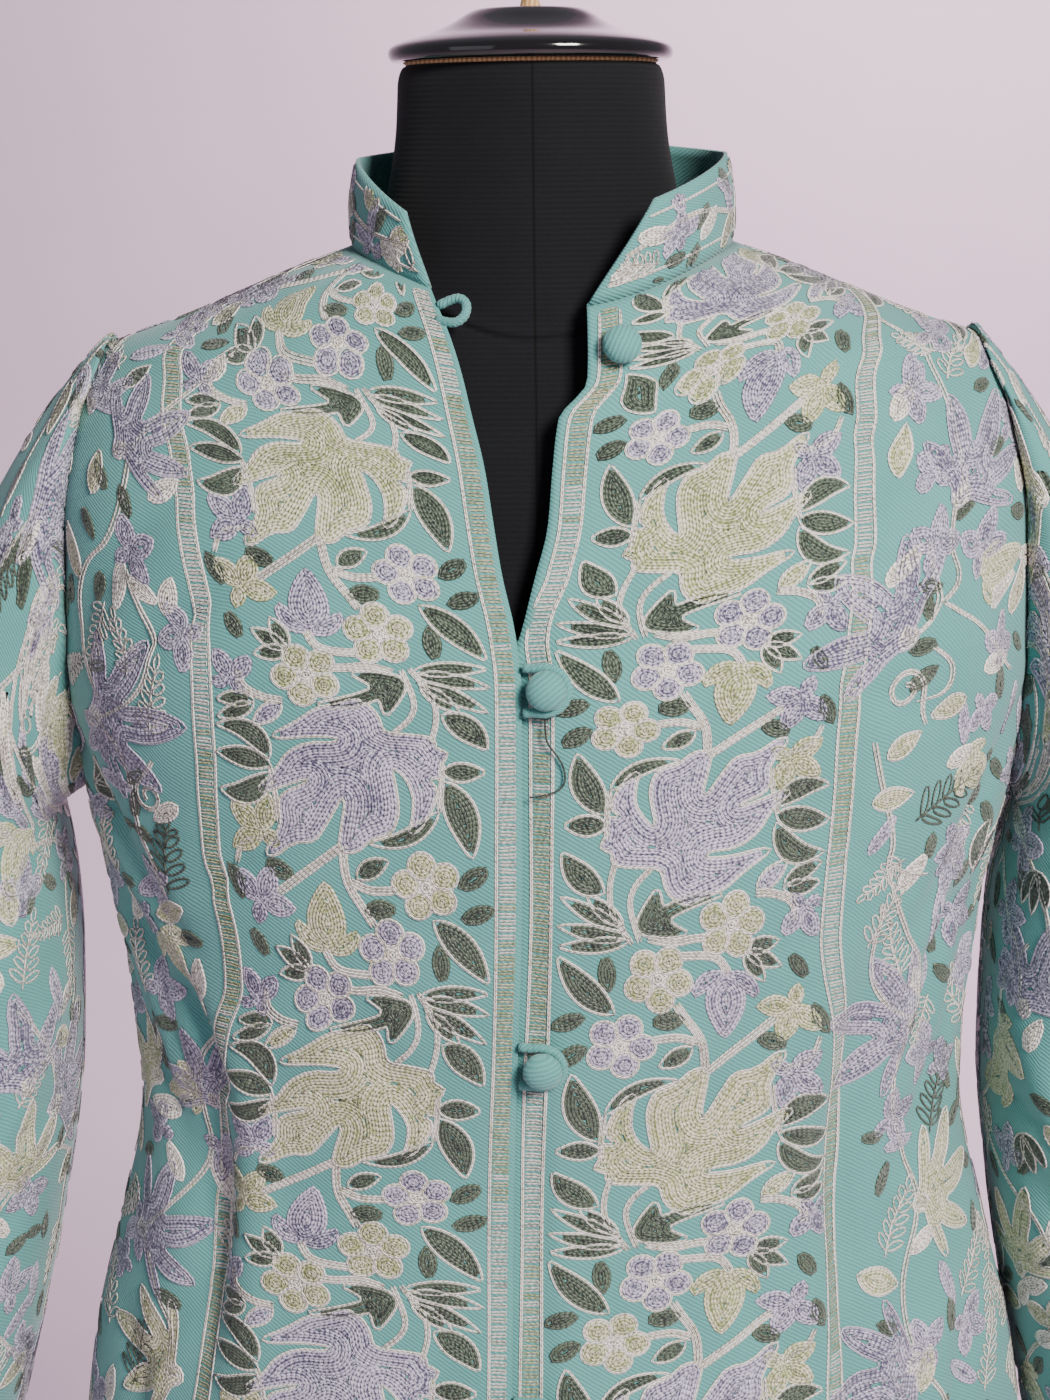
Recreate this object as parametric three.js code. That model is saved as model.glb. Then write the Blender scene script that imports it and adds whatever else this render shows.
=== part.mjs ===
// A short coat with a stand collar on a limbless dress form with a round foot.
// Millimetres, +Z up. The form's axis is x = 0, y = 0, the floor is z = 0, and the coat's front faces -Y.
// The wearer's right is on the -X side.
import * as THREE from "three";

// Cloth
const WALL = 2;
const SEAM_GAP = 0.3;
const COAT_SHIFT_X = 4;

// Levels: heights of the coat's sections, read at the side seam and along the shoulder
const HEM_LEVEL = 678;
const UNDERARM_LEVEL = 1180;
const TIP_LEVEL = 1371;
const NECK_LEVEL = 1415;
const BODY_ROWS_BELOW_ARM = 14;
const ARMHOLE_STEPS = 12;
const SHOULDER_ROWS = 3;

// Armhole: how far it cuts in from the side, as angles round the body
const ARMHOLE_FRONT_DEG = 10;
const ARMHOLE_BACK_DEG = 13;

// Front closing
const UNDERLAP_DROP = 3;
const UNDERLAP_END_X = 3;
const UNDERLAP_START_X = -9.5;

// Buttons and their loops
const BUTTON_RADIUS = 7.9;
const BUTTON_HALF_DEPTH = 5.6;
const LOOP_TUBE_RADIUS = 1.6;

// Dress form and stand
const NECK_TOP_Z = 1485;
const FORM_BOTTOM_Z = 770;
const CAP_RADIUS = 60;
const PEG_RADIUS = 4;
const POLE_RADIUS = 16;
const BASE_RADIUS = 190;
const BASE_THICKNESS = 14;
const SEAT_GAP = 0.35;

const rad = THREE.MathUtils.degToRad;

// Sections of the coat's outer surface. power is the roundness of the plan: 2 is an ellipse.
const coatSections = curveTable(
  ["level", "halfWidth", "frontZ", "frontDepth", "backZ", "backDepth", "power"],
  [
    [678, 236, 672, 158, 672, 140, 2.05],
    [800, 226, 797, 150, 797, 134, 2.05],
    [864, 219, 862, 145, 862, 129, 2.05],
    [930, 210, 929, 138, 929, 122, 2.1],
    [975, 200, 975, 130, 975, 115, 2.1],
    [1040, 188, 1040, 123, 1040, 108, 2.1],
    [1107, 193, 1107, 128, 1107, 111, 2.1],
    [1180, 205, 1180, 133, 1180, 114, 2.15],
    [1240, 211, 1238, 133, 1240, 115, 2.25],
    [1300, 211, 1292, 118, 1298, 112, 2.25],
    [1345, 204, 1331, 100, 1338, 104, 2.05],
    [1371, 191, 1350, 92, 1360, 96, 1.7],
    [1385.667, 153.667, 1363, 86, 1378, 87, 1.75],
    [1400.333, 117.333, 1377, 80, 1397, 76, 1.9],
    [1415, 81, 1392, 74, 1420, 62, 2],
  ],
);

// The two front edges, as x from the coat's middle. The left front runs on under the right one below the neck opening.
const frontEdges = curveTable(
  ["level", "rightFrontX", "leftFrontX"],
  [
    [678, -24, -33],
    [930, -19, -28],
    [1040, -16.5, -25.5],
    [1180, -11.5, -20.5],
    [1253, -11, -20],
    [1275, -13, -11.5],
    [1300, -18, -5],
    [1320, -21, 0],
    [1345, -24.5, 2.2],
    [1371, -29.5, 5],
    [1385.667, -33, 16.5],
    [1400.333, -38, 17],
    [1415, -46, 17],
  ],
);

// The largest folds of the body: each runs from one point to another and is deep in the middle. depth below 0 is a trough.
const bodyFolds = tableRows(
  ["fromDeg", "fromLevel", "toDeg", "toLevel", "halfWidthDeg", "depth"],
  [
    [-64, 1125, -58, 905, 3.2, -7],
    [-55.5, 1110, -50, 930, 3.5, 3.5],
    [54, 1140, 50, 900, 3.2, -7],
    [46.5, 1120, 43, 930, 3.5, 3.5],
    [-84, 1168, -62, 1085, 4, -4],
    [83, 1170, 60, 1095, 4, -4],
    [-80, 1010, -88, 690, 6, 5],
    [78, 1000, 86, 690, 6, 5],
    [112, 960, 108, 684, 7, 6],
    [138, 1010, 132, 684, 7, -5],
    [160, 930, 158, 684, 7, 5],
    [-112, 960, -110, 684, 7, 6],
    [-140, 1000, -134, 684, 7, -5],
    [-163, 930, -160, 684, 7, 5],
    [108, 1160, 124, 1040, 5, -4],
    [-108, 1160, -124, 1040, 5, -4],
  ],
);

// Level sections of the wearer's left sleeve, below the underarm: x and y of its four sides from the coat's middle.
const sleeveSections = curveTable(
  ["drop", "innerX", "outerX", "frontY", "backY"],
  [
    [0, 211, 272, -64, 64],
    [35, 204, 269, -68, 65],
    [70, 201, 268, -67, 63],
    [120, 200, 267, -66, 59],
    [195, 207, 272, -65, 52],
    [250, 216, 279, -64, 46],
    [300, 226, 287, -61, 42],
    [354, 236, 293, -58, 39],
  ],
);
const SLEEVE_TOP_Z = 1165;
const HEAD_RINGS = 5;
const SLEEVE_RINGS_BELOW = 12;
// The wearer's right sleeve hangs further out towards its cuff.
const sleeveSides = [
  { name: "sleeve_right", side: -1, swing: 24 },
  { name: "sleeve_left", side: 1, swing: 0 },
];

// The largest folds of a sleeve: turn is 0 at the underarm, 90 at the front and 180 outside, drop is down from the underarm ring.
const sleeveFolds = tableRows(
  ["fromTurn", "fromDrop", "toTurn", "toDrop", "halfWidthTurn", "depth"],
  [
    [35, -60, 130, 40, 16, -5],
    [60, 20, 150, 130, 15, -5],
    [20, 60, 110, 190, 15, 4],
    [45, 150, 140, 260, 15, -4.5],
    [230, 10, 320, 110, 17, -5],
    [225, 110, 310, 230, 16, 4],
    [240, 210, 320, 320, 16, -4],
  ],
);

// The collar: how far it rises and leans out, by angle round the neck from the front.
const collarSections = curveTable(
  ["deg", "rise", "lean"],
  [
    [13, 33, 5],
    [50, 34, 1],
    [90, 36, -3],
    [180, 38, -4],
    [270, 35, -3],
    [323, 23, 1],
  ],
);
const COLLAR_SLANT_LEFT_DEG = 22;
const COLLAR_SLANT_RIGHT_DEG = 9;
const COLLAR_COLUMNS = 30;

// Sections of the dress form, by the height at its side.
const formSections = curveTable(
  ["level", "halfWidth", "frontZ", "frontDepth", "backZ", "backDepth", "power"],
  [
    [770, 168, 770, 110, 770, 104, 2.2],
    [860, 172, 860, 116, 860, 108, 2.2],
    [960, 150, 960, 104, 960, 92, 2.2],
    [1040, 128, 1040, 94, 1040, 80, 2.2],
    [1110, 140, 1110, 102, 1110, 86, 2.2],
    [1180, 152, 1180, 117, 1180, 92, 2.2],
    [1240, 158, 1238, 121, 1240, 95, 2.2],
    [1300, 162, 1292, 103, 1298, 92, 2.1],
    [1345, 167, 1331, 86, 1338, 84, 1.9],
    [1366, 171, 1346, 77, 1356, 76, 1.7],
    [1375.28, 167.1, 1353, 74, 1366, 72, 1.6],
    [1393, 123.1, 1366, 69, 1384, 64, 1.7],
    [1411.15, 78.1, 1380, 63, 1406, 54, 1.9],
    [1420, 66.5, 1394, 60, 1420, 52, 2],
    [1440, 60.5, 1426, 57, 1440, 53, 2],
    [1462, 57, 1456, 55.5, 1462, 53.5, 2],
    [NECK_TOP_Z, 55.7, NECK_TOP_Z, 55, NECK_TOP_Z, 54, 2],
  ],
);

const finishes = {
  embroideredTwill: finish(0x7fc0b2, 0.75, 0),
  blackJersey: finish(0x17181b, 0.85, 0),
  blackLacquer: finish(0x0b0a0a, 0.15, 0),
  turnedWood: finish(0xb98d5c, 0.6, 0),
  blackSteel: finish(0x1b1b1d, 0.4, 0.6),
};

function finish(color, roughness, metalness) {
  return new THREE.MeshStandardMaterial({ color, roughness, metalness });
}

function tableRows(columns, rows) {
  return rows.map((row) =>
    Object.fromEntries(columns.map((column, i) => [column, row[i]])),
  );
}

// A table read as smooth curves over its first column, with no overshoot between rows.
function curveTable(columns, rows) {
  const keys = rows.map((row) => row[0]);
  const curves = columns.slice(1).map((column, i) => ({
    column,
    values: rows.map((row) => row[i + 1]),
  }));
  curves.forEach((curve) => {
    curve.slopes = steadySlopes(keys, curve.values);
  });
  return (key) => {
    const at = THREE.MathUtils.clamp(key, keys[0], keys[keys.length - 1]);
    let i = keys.findIndex((k, n) => n > 0 && at <= k);
    i = Math.max(1, i);
    const span = keys[i] - keys[i - 1];
    const t = (at - keys[i - 1]) / span;
    const found = {};
    for (const { column, values, slopes } of curves) {
      found[column] =
        values[i - 1] * (1 + 2 * t) * (1 - t) ** 2 +
        values[i] * t * t * (3 - 2 * t) +
        span * slopes[i - 1] * t * (1 - t) ** 2 -
        span * slopes[i] * t * t * (1 - t);
    }
    return found;
  };
}

// The slope of a curve at each key: the harmonic mean of its neighbours' slopes, or flat at a turn.
function steadySlopes(keys, values) {
  const steps = values
    .slice(1)
    .map((v, i) => (v - values[i]) / (keys[i + 1] - keys[i]));
  return values.map((_, i) => {
    if (i === 0) return steps[0];
    if (i === steps.length) return steps[i - 1];
    const before = steps[i - 1];
    const after = steps[i];
    return before * after <= 0 ? 0 : (2 * before * after) / (before + after);
  });
}

// A point of a body surface: phi is the angle round it from the front, towards +X.
function sectionPoint(sections, phi, level, extra = 0) {
  const s = sections(level);
  const c = Math.cos(phi);
  const front = c > 0;
  const depth = front ? s.frontDepth : s.backDepth;
  const endZ = front ? s.frontZ : s.backZ;
  const sum =
    Math.abs(Math.sin(phi) / s.halfWidth) ** s.power +
    Math.abs(c / depth) ** s.power;
  const r = sum ** (-1 / s.power) + extra;
  const z = level + (endZ - level) * c * c;
  return new THREE.Vector3(r * Math.sin(phi), -r * c, z);
}

function foldDepth(folds, across, along, names) {
  let depth = 0;
  for (const fold of folds) {
    const [fromA, fromB, toA, toB, half] = names.map((n) => fold[n]);
    const t = (along - fromB) / (toB - fromB);
    if (t <= 0 || t >= 1) continue;
    const off = (across - (fromA + (toA - fromA) * t)) / half;
    depth += fold.depth * Math.sin(Math.PI * t) ** 0.7 * Math.exp(-off * off);
  }
  return depth;
}

const BODY_FOLD_NAMES = [
  "fromDeg",
  "fromLevel",
  "toDeg",
  "toLevel",
  "halfWidthDeg",
];
const SLEEVE_FOLD_NAMES = [
  "fromTurn",
  "fromDrop",
  "toTurn",
  "toDrop",
  "halfWidthTurn",
];

function coatPoint(phi, level) {
  const deg = THREE.MathUtils.radToDeg(Math.atan2(Math.sin(phi), Math.cos(phi)));
  const extra = foldDepth(bodyFolds, deg, level, BODY_FOLD_NAMES);
  return sectionPoint(coatSections, phi, level, extra);
}

// The outward normal of a surface point(phi, level).
function surfaceNormal(point, phi, level) {
  const dPhi = 0.01;
  const dLevel = 1;
  const low = Math.max(HEM_LEVEL, level - dLevel);
  const high = Math.min(NECK_LEVEL, level + dLevel);
  const round = point(phi + dPhi, level).sub(point(phi - dPhi, level));
  const up = point(phi, high).sub(point(phi, low));
  return round.cross(up).normalize();
}

const coatNormal = (phi, level) => surfaceNormal(coatPoint, phi, level);

// The angle at which a level section passes a given x on the front.
function phiAtX(x, level) {
  let phi = 0;
  for (let i = 0; i < 6; i++) {
    const p = sectionPoint(coatSections, phi, level);
    phi = Math.asin(THREE.MathUtils.clamp(x / Math.hypot(p.x, p.y), -1, 1));
  }
  return phi;
}

// Levels of the rows of every body panel. Along the armhole they are even steps round its loop.
const levels = (() => {
  const found = [];
  for (let i = 0; i < BODY_ROWS_BELOW_ARM; i++)
    found.push(
      HEM_LEVEL + ((UNDERARM_LEVEL - HEM_LEVEL) * i) / BODY_ROWS_BELOW_ARM,
    );
  for (let i = 0; i <= ARMHOLE_STEPS; i++) found.push(armholeLevel(i));
  for (let i = 1; i <= SHOULDER_ROWS; i++)
    found.push(TIP_LEVEL + ((NECK_LEVEL - TIP_LEVEL) * i) / SHOULDER_ROWS);
  return found;
})();

function armholeLevel(step) {
  const middle = (TIP_LEVEL + UNDERARM_LEVEL) / 2;
  const half = (TIP_LEVEL - UNDERARM_LEVEL) / 2;
  return middle - half * Math.cos((Math.PI * step) / ARMHOLE_STEPS);
}

// How far the armhole cuts in at one of its steps, as an angle.
function armholeCut(step, deg) {
  return rad(deg) * Math.sin((Math.PI * step) / ARMHOLE_STEPS);
}

// The way that the cloth's thickness faces along the armhole seam: down in the fold of the underarm, out elsewhere.
function armholeSeamNormal(phi, step) {
  const under = ((1 + Math.cos((Math.PI * step) / ARMHOLE_STEPS)) / 2) ** 2;
  return coatNormal(phi, armholeLevel(step))
    .multiplyScalar(1 - under)
    .add(new THREE.Vector3(0, 0, -under))
    .normalize();
}

// The same along the neckline, between the body and the standing collar.
function neckSeamNormal(phi) {
  const upright = coatNormal(phi, NECK_LEVEL).setZ(0).normalize();
  return coatNormal(phi, NECK_LEVEL).add(upright).normalize();
}

// A closed wall between two grids of points. Rows run up, and columns run anticlockwise seen from above.
function wallGeometry(outer, inner, wraps) {
  const rows = outer.length;
  const columns = outer[0].length;
  const positions = [...outer.flat(), ...inner.flat()].flatMap((p) =>
    p.toArray(),
  );
  const at = (side, r, c) => side * rows * columns + r * columns + (c % columns);
  const index = [];
  const quad = (a, b, c, d) => index.push(a, b, c, a, c, d);
  const last = wraps ? columns : columns - 1;
  for (let r = 0; r < rows - 1; r++)
    for (let c = 0; c < last; c++) {
      quad(at(0, r, c), at(0, r, c + 1), at(0, r + 1, c + 1), at(0, r + 1, c));
      quad(at(1, r, c), at(1, r + 1, c), at(1, r + 1, c + 1), at(1, r, c + 1));
    }
  const top = rows - 1;
  for (let c = 0; c < last; c++) {
    quad(at(1, 0, c), at(1, 0, c + 1), at(0, 0, c + 1), at(0, 0, c));
    quad(at(0, top, c), at(0, top, c + 1), at(1, top, c + 1), at(1, top, c));
  }
  if (!wraps)
    for (let r = 0; r < top; r++) {
      quad(at(0, r, 0), at(0, r + 1, 0), at(1, r + 1, 0), at(1, r, 0));
      quad(at(0, r, last), at(1, r, last), at(1, r + 1, last), at(0, r + 1, last));
    }
  return indexed(positions, index);
}

// A closed solid inside one grid of points that wraps round, with a fan across each end.
function solidGeometry(rings) {
  const columns = rings[0].length;
  const ends = [rings[0], rings[rings.length - 1]].map((ring) =>
    ring
      .reduce((sum, p) => sum.add(p), new THREE.Vector3())
      .divideScalar(columns),
  );
  const positions = [...rings.flat(), ...ends].flatMap((p) => p.toArray());
  const bottom = rings.length * columns;
  const index = [];
  for (let c = 0; c < columns; c++) {
    const next = (c + 1) % columns;
    for (let r = 0; r < rings.length - 1; r++) {
      const a = r * columns;
      const b = a + columns;
      index.push(a + c, a + next, b + next, a + c, b + next, b + c);
    }
    const top = (rings.length - 1) * columns;
    index.push(bottom, next, c, bottom + 1, top + c, top + next);
  }
  return indexed(positions, index);
}

function indexed(positions, index) {
  const geometry = new THREE.BufferGeometry();
  geometry.setAttribute(
    "position",
    new THREE.Float32BufferAttribute(positions, 3),
  );
  geometry.setIndex(index);
  geometry.computeVertexNormals();
  return geometry;
}

function named(name, geometry, material) {
  const mesh = new THREE.Mesh(geometry, material);
  mesh.name = name;
  return mesh;
}

// How far the left front is pressed back where it lies under the right one.
function underlapDrop(x, level) {
  const closed = 1 - THREE.MathUtils.smoothstep(level, 1277, 1290);
  const under = 1 - THREE.MathUtils.smoothstep(x, UNDERLAP_START_X, UNDERLAP_END_X);
  return UNDERLAP_DROP * under * closed;
}

// Columns of a front: three beside its edge, then shares of the way to the side.
const EDGE_COLUMNS = [0, 10.5, 23];
const FRONT_SHARES = [0.14, 0.28, 0.42, 0.52, 0.6, 0.68, 0.76, 0.88, 1];

function frontPanel(name, side) {
  const edgeName = side < 0 ? "rightFrontX" : "leftFrontX";
  const outer = [];
  const inner = [];
  levels.forEach((level, row) => {
    const step = row - BODY_ROWS_BELOW_ARM;
    const inArmhole = step >= 0 && step <= ARMHOLE_STEPS;
    const edgeX = frontEdges(level)[edgeName];
    const seam = SEAM_GAP / 2 / coatSections(level).halfWidth;
    const cut = inArmhole ? armholeCut(step, ARMHOLE_FRONT_DEG) : 0;
    const sidePhi = side * (rad(90) - cut - seam);
    const seamPhi = side * (rad(90) - cut);
    const phis = EDGE_COLUMNS.map((d) => phiAtX(edgeX + side * d, level));
    const last = phis[phis.length - 1];
    FRONT_SHARES.forEach((share) => phis.push(last + (sidePhi - last) * share));
    const outerRow = [];
    const innerRow = [];
    phis.forEach((phi, column) => {
      const point = coatPoint(phi, level);
      const atSide = column === phis.length - 1;
      let normal = coatNormal(atSide ? seamPhi : phi, level);
      if (level === NECK_LEVEL) normal = neckSeamNormal(atSide ? seamPhi : phi);
      if (atSide && inArmhole) normal = armholeSeamNormal(seamPhi, step);
      if (side > 0)
        point.addScaledVector(normal, -underlapDrop(point.x, level));
      outerRow.push(point);
      innerRow.push(point.clone().addScaledVector(normal, -WALL));
    });
    if (side < 0) {
      outerRow.reverse();
      innerRow.reverse();
    }
    outer.push(outerRow);
    inner.push(innerRow);
  });
  return named(name, wallGeometry(outer, inner, false), finishes.embroideredTwill);
}

const BACK_COLUMNS = 24;

function backPanel() {
  const outer = [];
  const inner = [];
  levels.forEach((level, row) => {
    const step = row - BODY_ROWS_BELOW_ARM;
    const inArmhole = step >= 0 && step <= ARMHOLE_STEPS;
    const seam = SEAM_GAP / 2 / coatSections(level).halfWidth;
    const cut = inArmhole ? armholeCut(step, ARMHOLE_BACK_DEG) : 0;
    const first = rad(90) + cut + seam;
    const outerRow = [];
    const innerRow = [];
    for (let c = 0; c <= BACK_COLUMNS; c++) {
      const share = c / BACK_COLUMNS;
      const phi = first + (2 * Math.PI - 2 * first) * share;
      const atSide = c === 0 || c === BACK_COLUMNS;
      const seamPhi = c === 0 ? rad(90) + cut : rad(270) - cut;
      const point = coatPoint(phi, level);
      let normal = coatNormal(atSide ? seamPhi : phi, level);
      if (level === NECK_LEVEL) normal = neckSeamNormal(atSide ? seamPhi : phi);
      if (atSide && inArmhole) normal = armholeSeamNormal(seamPhi, step);
      outerRow.push(point);
      innerRow.push(point.clone().addScaledVector(normal, -WALL));
    }
    outer.push(outerRow);
    inner.push(innerRow);
  });
  return named("coat_back", wallGeometry(outer, inner, false), finishes.embroideredTwill);
}

// The point, seam normal and outward direction of the armhole loop. turn goes from the underarm over the front.
function armholeLoop(side, turnStep) {
  const front = turnStep <= ARMHOLE_STEPS;
  const step = front ? turnStep : 2 * ARMHOLE_STEPS - turnStep;
  const cutDeg = front ? ARMHOLE_FRONT_DEG : -ARMHOLE_BACK_DEG;
  const phi = side * (rad(90) - armholeCut(step, cutDeg));
  const normal = armholeSeamNormal(phi, step);
  return { point: coatPoint(phi, armholeLevel(step)), normal };
}

// A sleeve's level ring below the underarm.
function sleeveRing(side, swing, drop) {
  const s = sleeveSections(drop);
  const out = (swing * drop) / 354 + (swing * 10) / 24;
  const middleX = (s.innerX + s.outerX) / 2 + out;
  const halfX = (s.outerX - s.innerX) / 2;
  const middleY = (s.frontY + s.backY) / 2;
  const halfY = (s.backY - s.frontY) / 2;
  const ring = [];
  for (let i = 0; i < 2 * ARMHOLE_STEPS; i++) {
    const turn = (Math.PI * i) / ARMHOLE_STEPS;
    const deg = (180 * i) / ARMHOLE_STEPS;
    const fold = foldDepth(sleeveFolds, deg, drop, SLEEVE_FOLD_NAMES);
    ring.push(
      new THREE.Vector3(
        side * (middleX - (halfX + fold) * Math.cos(turn)),
        middleY - (halfY + fold) * Math.sin(turn),
        SLEEVE_TOP_Z - drop,
      ),
    );
  }
  return ring;
}

function sleeve({ name, side, swing }) {
  const count = 2 * ARMHOLE_STEPS;
  const loop = [];
  for (let i = 0; i < count; i++) loop.push(armholeLoop(side, i));
  const seamOut = loop.map((_, i) => {
    const next = loop[(i + 1) % count].point;
    const before = loop[(i + count - 1) % count].point;
    const along = next.clone().sub(before).normalize();
    return along.cross(loop[i].normal).multiplyScalar(-side).normalize();
  });
  const first = loop.map((l, i) =>
    l.point.clone().addScaledVector(seamOut[i], SEAM_GAP),
  );
  const top = sleeveRing(side, swing, 0);
  const rings = [first];
  for (let k = 1; k <= HEAD_RINGS; k++) {
    const t = k / HEAD_RINGS;
    rings.push(
      first.map((start, i) => {
        const over = (1 - Math.cos((Math.PI * i) / ARMHOLE_STEPS)) / 2;
        const leave = start.clone().addScaledVector(seamOut[i], 3 + 44 * over);
        const arrive = top[i].clone();
        arrive.x -= side * 2 * over;
        arrive.z += 8 + 132 * over;
        return bezierPoint(start, leave, arrive, top[i], t);
      }),
    );
  }
  for (let k = 1; k <= SLEEVE_RINGS_BELOW; k++)
    rings.push(sleeveRing(side, swing, (354 * k) / SLEEVE_RINGS_BELOW));
  const inner = rings.map((ring, r) =>
    ring.map((point, i) => {
      const normal =
        r === 0 ? loop[i].normal : gridNormal(rings, r, i).multiplyScalar(side);
      return point.clone().addScaledVector(normal, -WALL);
    }),
  );
  const up = [rings.reverse(), inner.reverse()];
  if (side < 0) up.forEach((grid) => grid.forEach((ring) => ring.reverse()));
  return named(name, wallGeometry(up[0], up[1], true), finishes.embroideredTwill);
}

function bezierPoint(a, b, c, d, t) {
  const s = 1 - t;
  return a
    .clone()
    .multiplyScalar(s * s * s)
    .addScaledVector(b, 3 * s * s * t)
    .addScaledVector(c, 3 * s * t * t)
    .addScaledVector(d, t * t * t);
}

// The outward normal of a grid whose rings run down.
function gridNormal(rings, r, i) {
  const count = rings[0].length;
  const round = rings[r][(i + 1) % count].clone().sub(rings[r][(i + count - 1) % count]);
  const low = rings[Math.min(r + 1, rings.length - 1)][i];
  const up = rings[Math.max(r - 1, 0)][i].clone().sub(low);
  return round.cross(up).normalize();
}

function collar() {
  const low = THREE.MathUtils.radToDeg(
    phiAtX(frontEdges(NECK_LEVEL).leftFrontX, NECK_LEVEL),
  );
  const high =
    360 +
    THREE.MathUtils.radToDeg(
      phiAtX(frontEdges(NECK_LEVEL).rightFrontX, NECK_LEVEL),
    );
  const outer = [];
  const inner = [];
  const rows = 3;
  for (let row = 0; row <= rows; row++) {
    const rise = row / rows;
    const start = low + COLLAR_SLANT_LEFT_DEG * rise;
    const end = high - COLLAR_SLANT_RIGHT_DEG * rise;
    const outerRow = [];
    const innerRow = [];
    for (let c = 0; c <= COLLAR_COLUMNS; c++) {
      const deg = start + ((end - start) * c) / COLLAR_COLUMNS;
      const phi = rad(deg);
      const s = collarSections(deg);
      const seam = neckSeamNormal(phi);
      const upright = seam.clone().setZ(0).normalize();
      const normal = row === 0 ? seam : upright;
      const point = coatPoint(phi, NECK_LEVEL)
        .addScaledVector(upright, s.lean * rise * rise - SEAM_GAP * seam.z)
        .add(new THREE.Vector3(0, 0, s.rise * rise + SEAM_GAP));
      outerRow.push(point);
      innerRow.push(point.clone().addScaledVector(normal, -WALL));
    }
    outer.push(outerRow);
    inner.push(innerRow);
  }
  return named("collar", wallGeometry(outer, inner, false), finishes.embroideredTwill);
}

// Buttons and loops, by the level of each and its x from the coat's middle.
const closures = tableRows(
  ["number", "level", "x", "fastened"],
  [
    [1, 1396, 29.7, false],
    [2, 1252.5, -1.5, true],
    [3, 1092, -4.5, true],
    [4, 938, -7.5, true],
  ],
);

// A frame on the front of the coat: x across, y up and z out of the cloth.
function clothFrame(x, level) {
  const phi = phiAtX(x, level);
  const group = new THREE.Group();
  const out = coatNormal(phi, level);
  const across = new THREE.Vector3(0, 0, 1).cross(out).normalize();
  const up = out.clone().cross(across);
  group.quaternion.setFromRotationMatrix(
    new THREE.Matrix4().makeBasis(across, up, out),
  );
  group.position.copy(coatPoint(phi, level));
  return group;
}

function button({ number, level, x }) {
  const geometry = new THREE.SphereGeometry(BUTTON_RADIUS, 14, 9);
  geometry.scale(1, 1, BUTTON_HALF_DEPTH / BUTTON_RADIUS);
  const ball = named(`button_${number}`, geometry, finishes.embroideredTwill);
  ball.position.z = BUTTON_HALF_DEPTH + SEAM_GAP;
  return clothFrame(x, level).add(ball);
}

// A loop round a fastened button, from the right front's edge and back to it.
function fastenedLoop({ number, level, x }) {
  const edge = frontEdges(level).rightFrontX - x + 0.8;
  const path = [
    [edge, 8.8, 0.6],
    [-5, 8.4, 1.6],
    [0, 9.2, 2.3],
    [6.2, 6.8, 2.4],
    [9.2, 0, 2.4],
    [6.2, -6.8, 2.4],
    [0, -9.2, 2.3],
    [-5, -8.4, 1.6],
    [edge, -8.8, 0.6],
  ];
  return clothFrame(x, level).add(rouleau(`loop_${number}`, path, 22));
}

// The unfastened loop hangs off the right front's edge into the neck opening.
function openLoop(number) {
  const level = 1408;
  const edge = frontEdges(level).rightFrontX;
  const path = [
    [3, 2.3, -0.9],
    [4.4, 4.6, -0.6],
    [7.6, 5.4, 0],
    [10.6, 3.2, 0.4],
    [11.4, 0, 0.5],
    [10.6, -3.4, 0.4],
    [7.6, -5.8, 0],
    [5, -4.8, -0.6],
    [3.2, -2.3, -0.9],
  ];
  return clothFrame(edge, level).add(rouleau(`loop_${number}`, path, 22));
}

function rouleau(name, path, steps) {
  const round = new THREE.Shape();
  round.absarc(0, 0, LOOP_TUBE_RADIUS, 0, 2 * Math.PI);
  const curve = new THREE.CatmullRomCurve3(
    path.map((p) => new THREE.Vector3(...p)),
  );
  const geometry = new THREE.ExtrudeGeometry(round, {
    curveSegments: 4,
    steps,
    extrudePath: curve,
  });
  return named(name, geometry, finishes.embroideredTwill);
}

const FORM_COLUMNS = 32;

// Levels of the form's rings. Along the shoulder its ridge lies just under the coat's.
const formLevels = [
  770, 800, 830, 860, 893, 926, 960, 1000, 1040, 1075, 1110, 1145, 1180, 1210,
  1240, 1270, 1300, 1323, 1345, 1366, 1375.28, 1393, 1411.15, 1420, 1430, 1440,
  1462, 1485,
];

function formBody() {
  const rings = formLevels.map((level) => {
    const ring = [];
    for (let c = 0; c < FORM_COLUMNS; c++)
      ring.push(sectionPoint(formSections, (2 * Math.PI * c) / FORM_COLUMNS, level));
    return ring;
  });
  return named("form_body", solidGeometry(rings), finishes.blackJersey);
}

// A solid of revolution about Z. The profile runs up, from the axis back to the axis.
function turned(name, profile, segments, material) {
  const points = profile.map(([r, z]) => new THREE.Vector2(r, z));
  const geometry = new THREE.LatheGeometry(points, segments);
  geometry.rotateX(Math.PI / 2);
  return named(name, geometry, material);
}

function cap() {
  const z = NECK_TOP_Z + SEAT_GAP;
  const profile = [
    [0, z],
    [52, z],
    [55, z + 1.5],
    [58.6, z + 3],
    [CAP_RADIUS, z + 6.5],
    [CAP_RADIUS - 1.2, z + 9.6],
    [52, z + 12.2],
    [42, z + 14.6],
    [33, z + 18.6],
    [27, z + 22.4],
    [23, z + 24.3],
    [20.5, z + 24],
    [19.5, z + 22.6],
    [0, z + 22.4],
  ];
  return turned("form_cap", profile, 40, finishes.blackLacquer);
}

function peg() {
  const z = NECK_TOP_Z + 22.4 + 2 * SEAT_GAP;
  const profile = [
    [0, z],
    [PEG_RADIUS + 1.2, z],
    [PEG_RADIUS + 1.4, z + 1.6],
    [PEG_RADIUS, z + 3],
    [PEG_RADIUS - 0.6, z + 8],
    [PEG_RADIUS + 0.6, z + 11],
    [PEG_RADIUS - 0.6, z + 13.4],
    [0, z + 14.2],
  ];
  return turned("form_peg", profile, 16, finishes.turnedWood);
}

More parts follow.
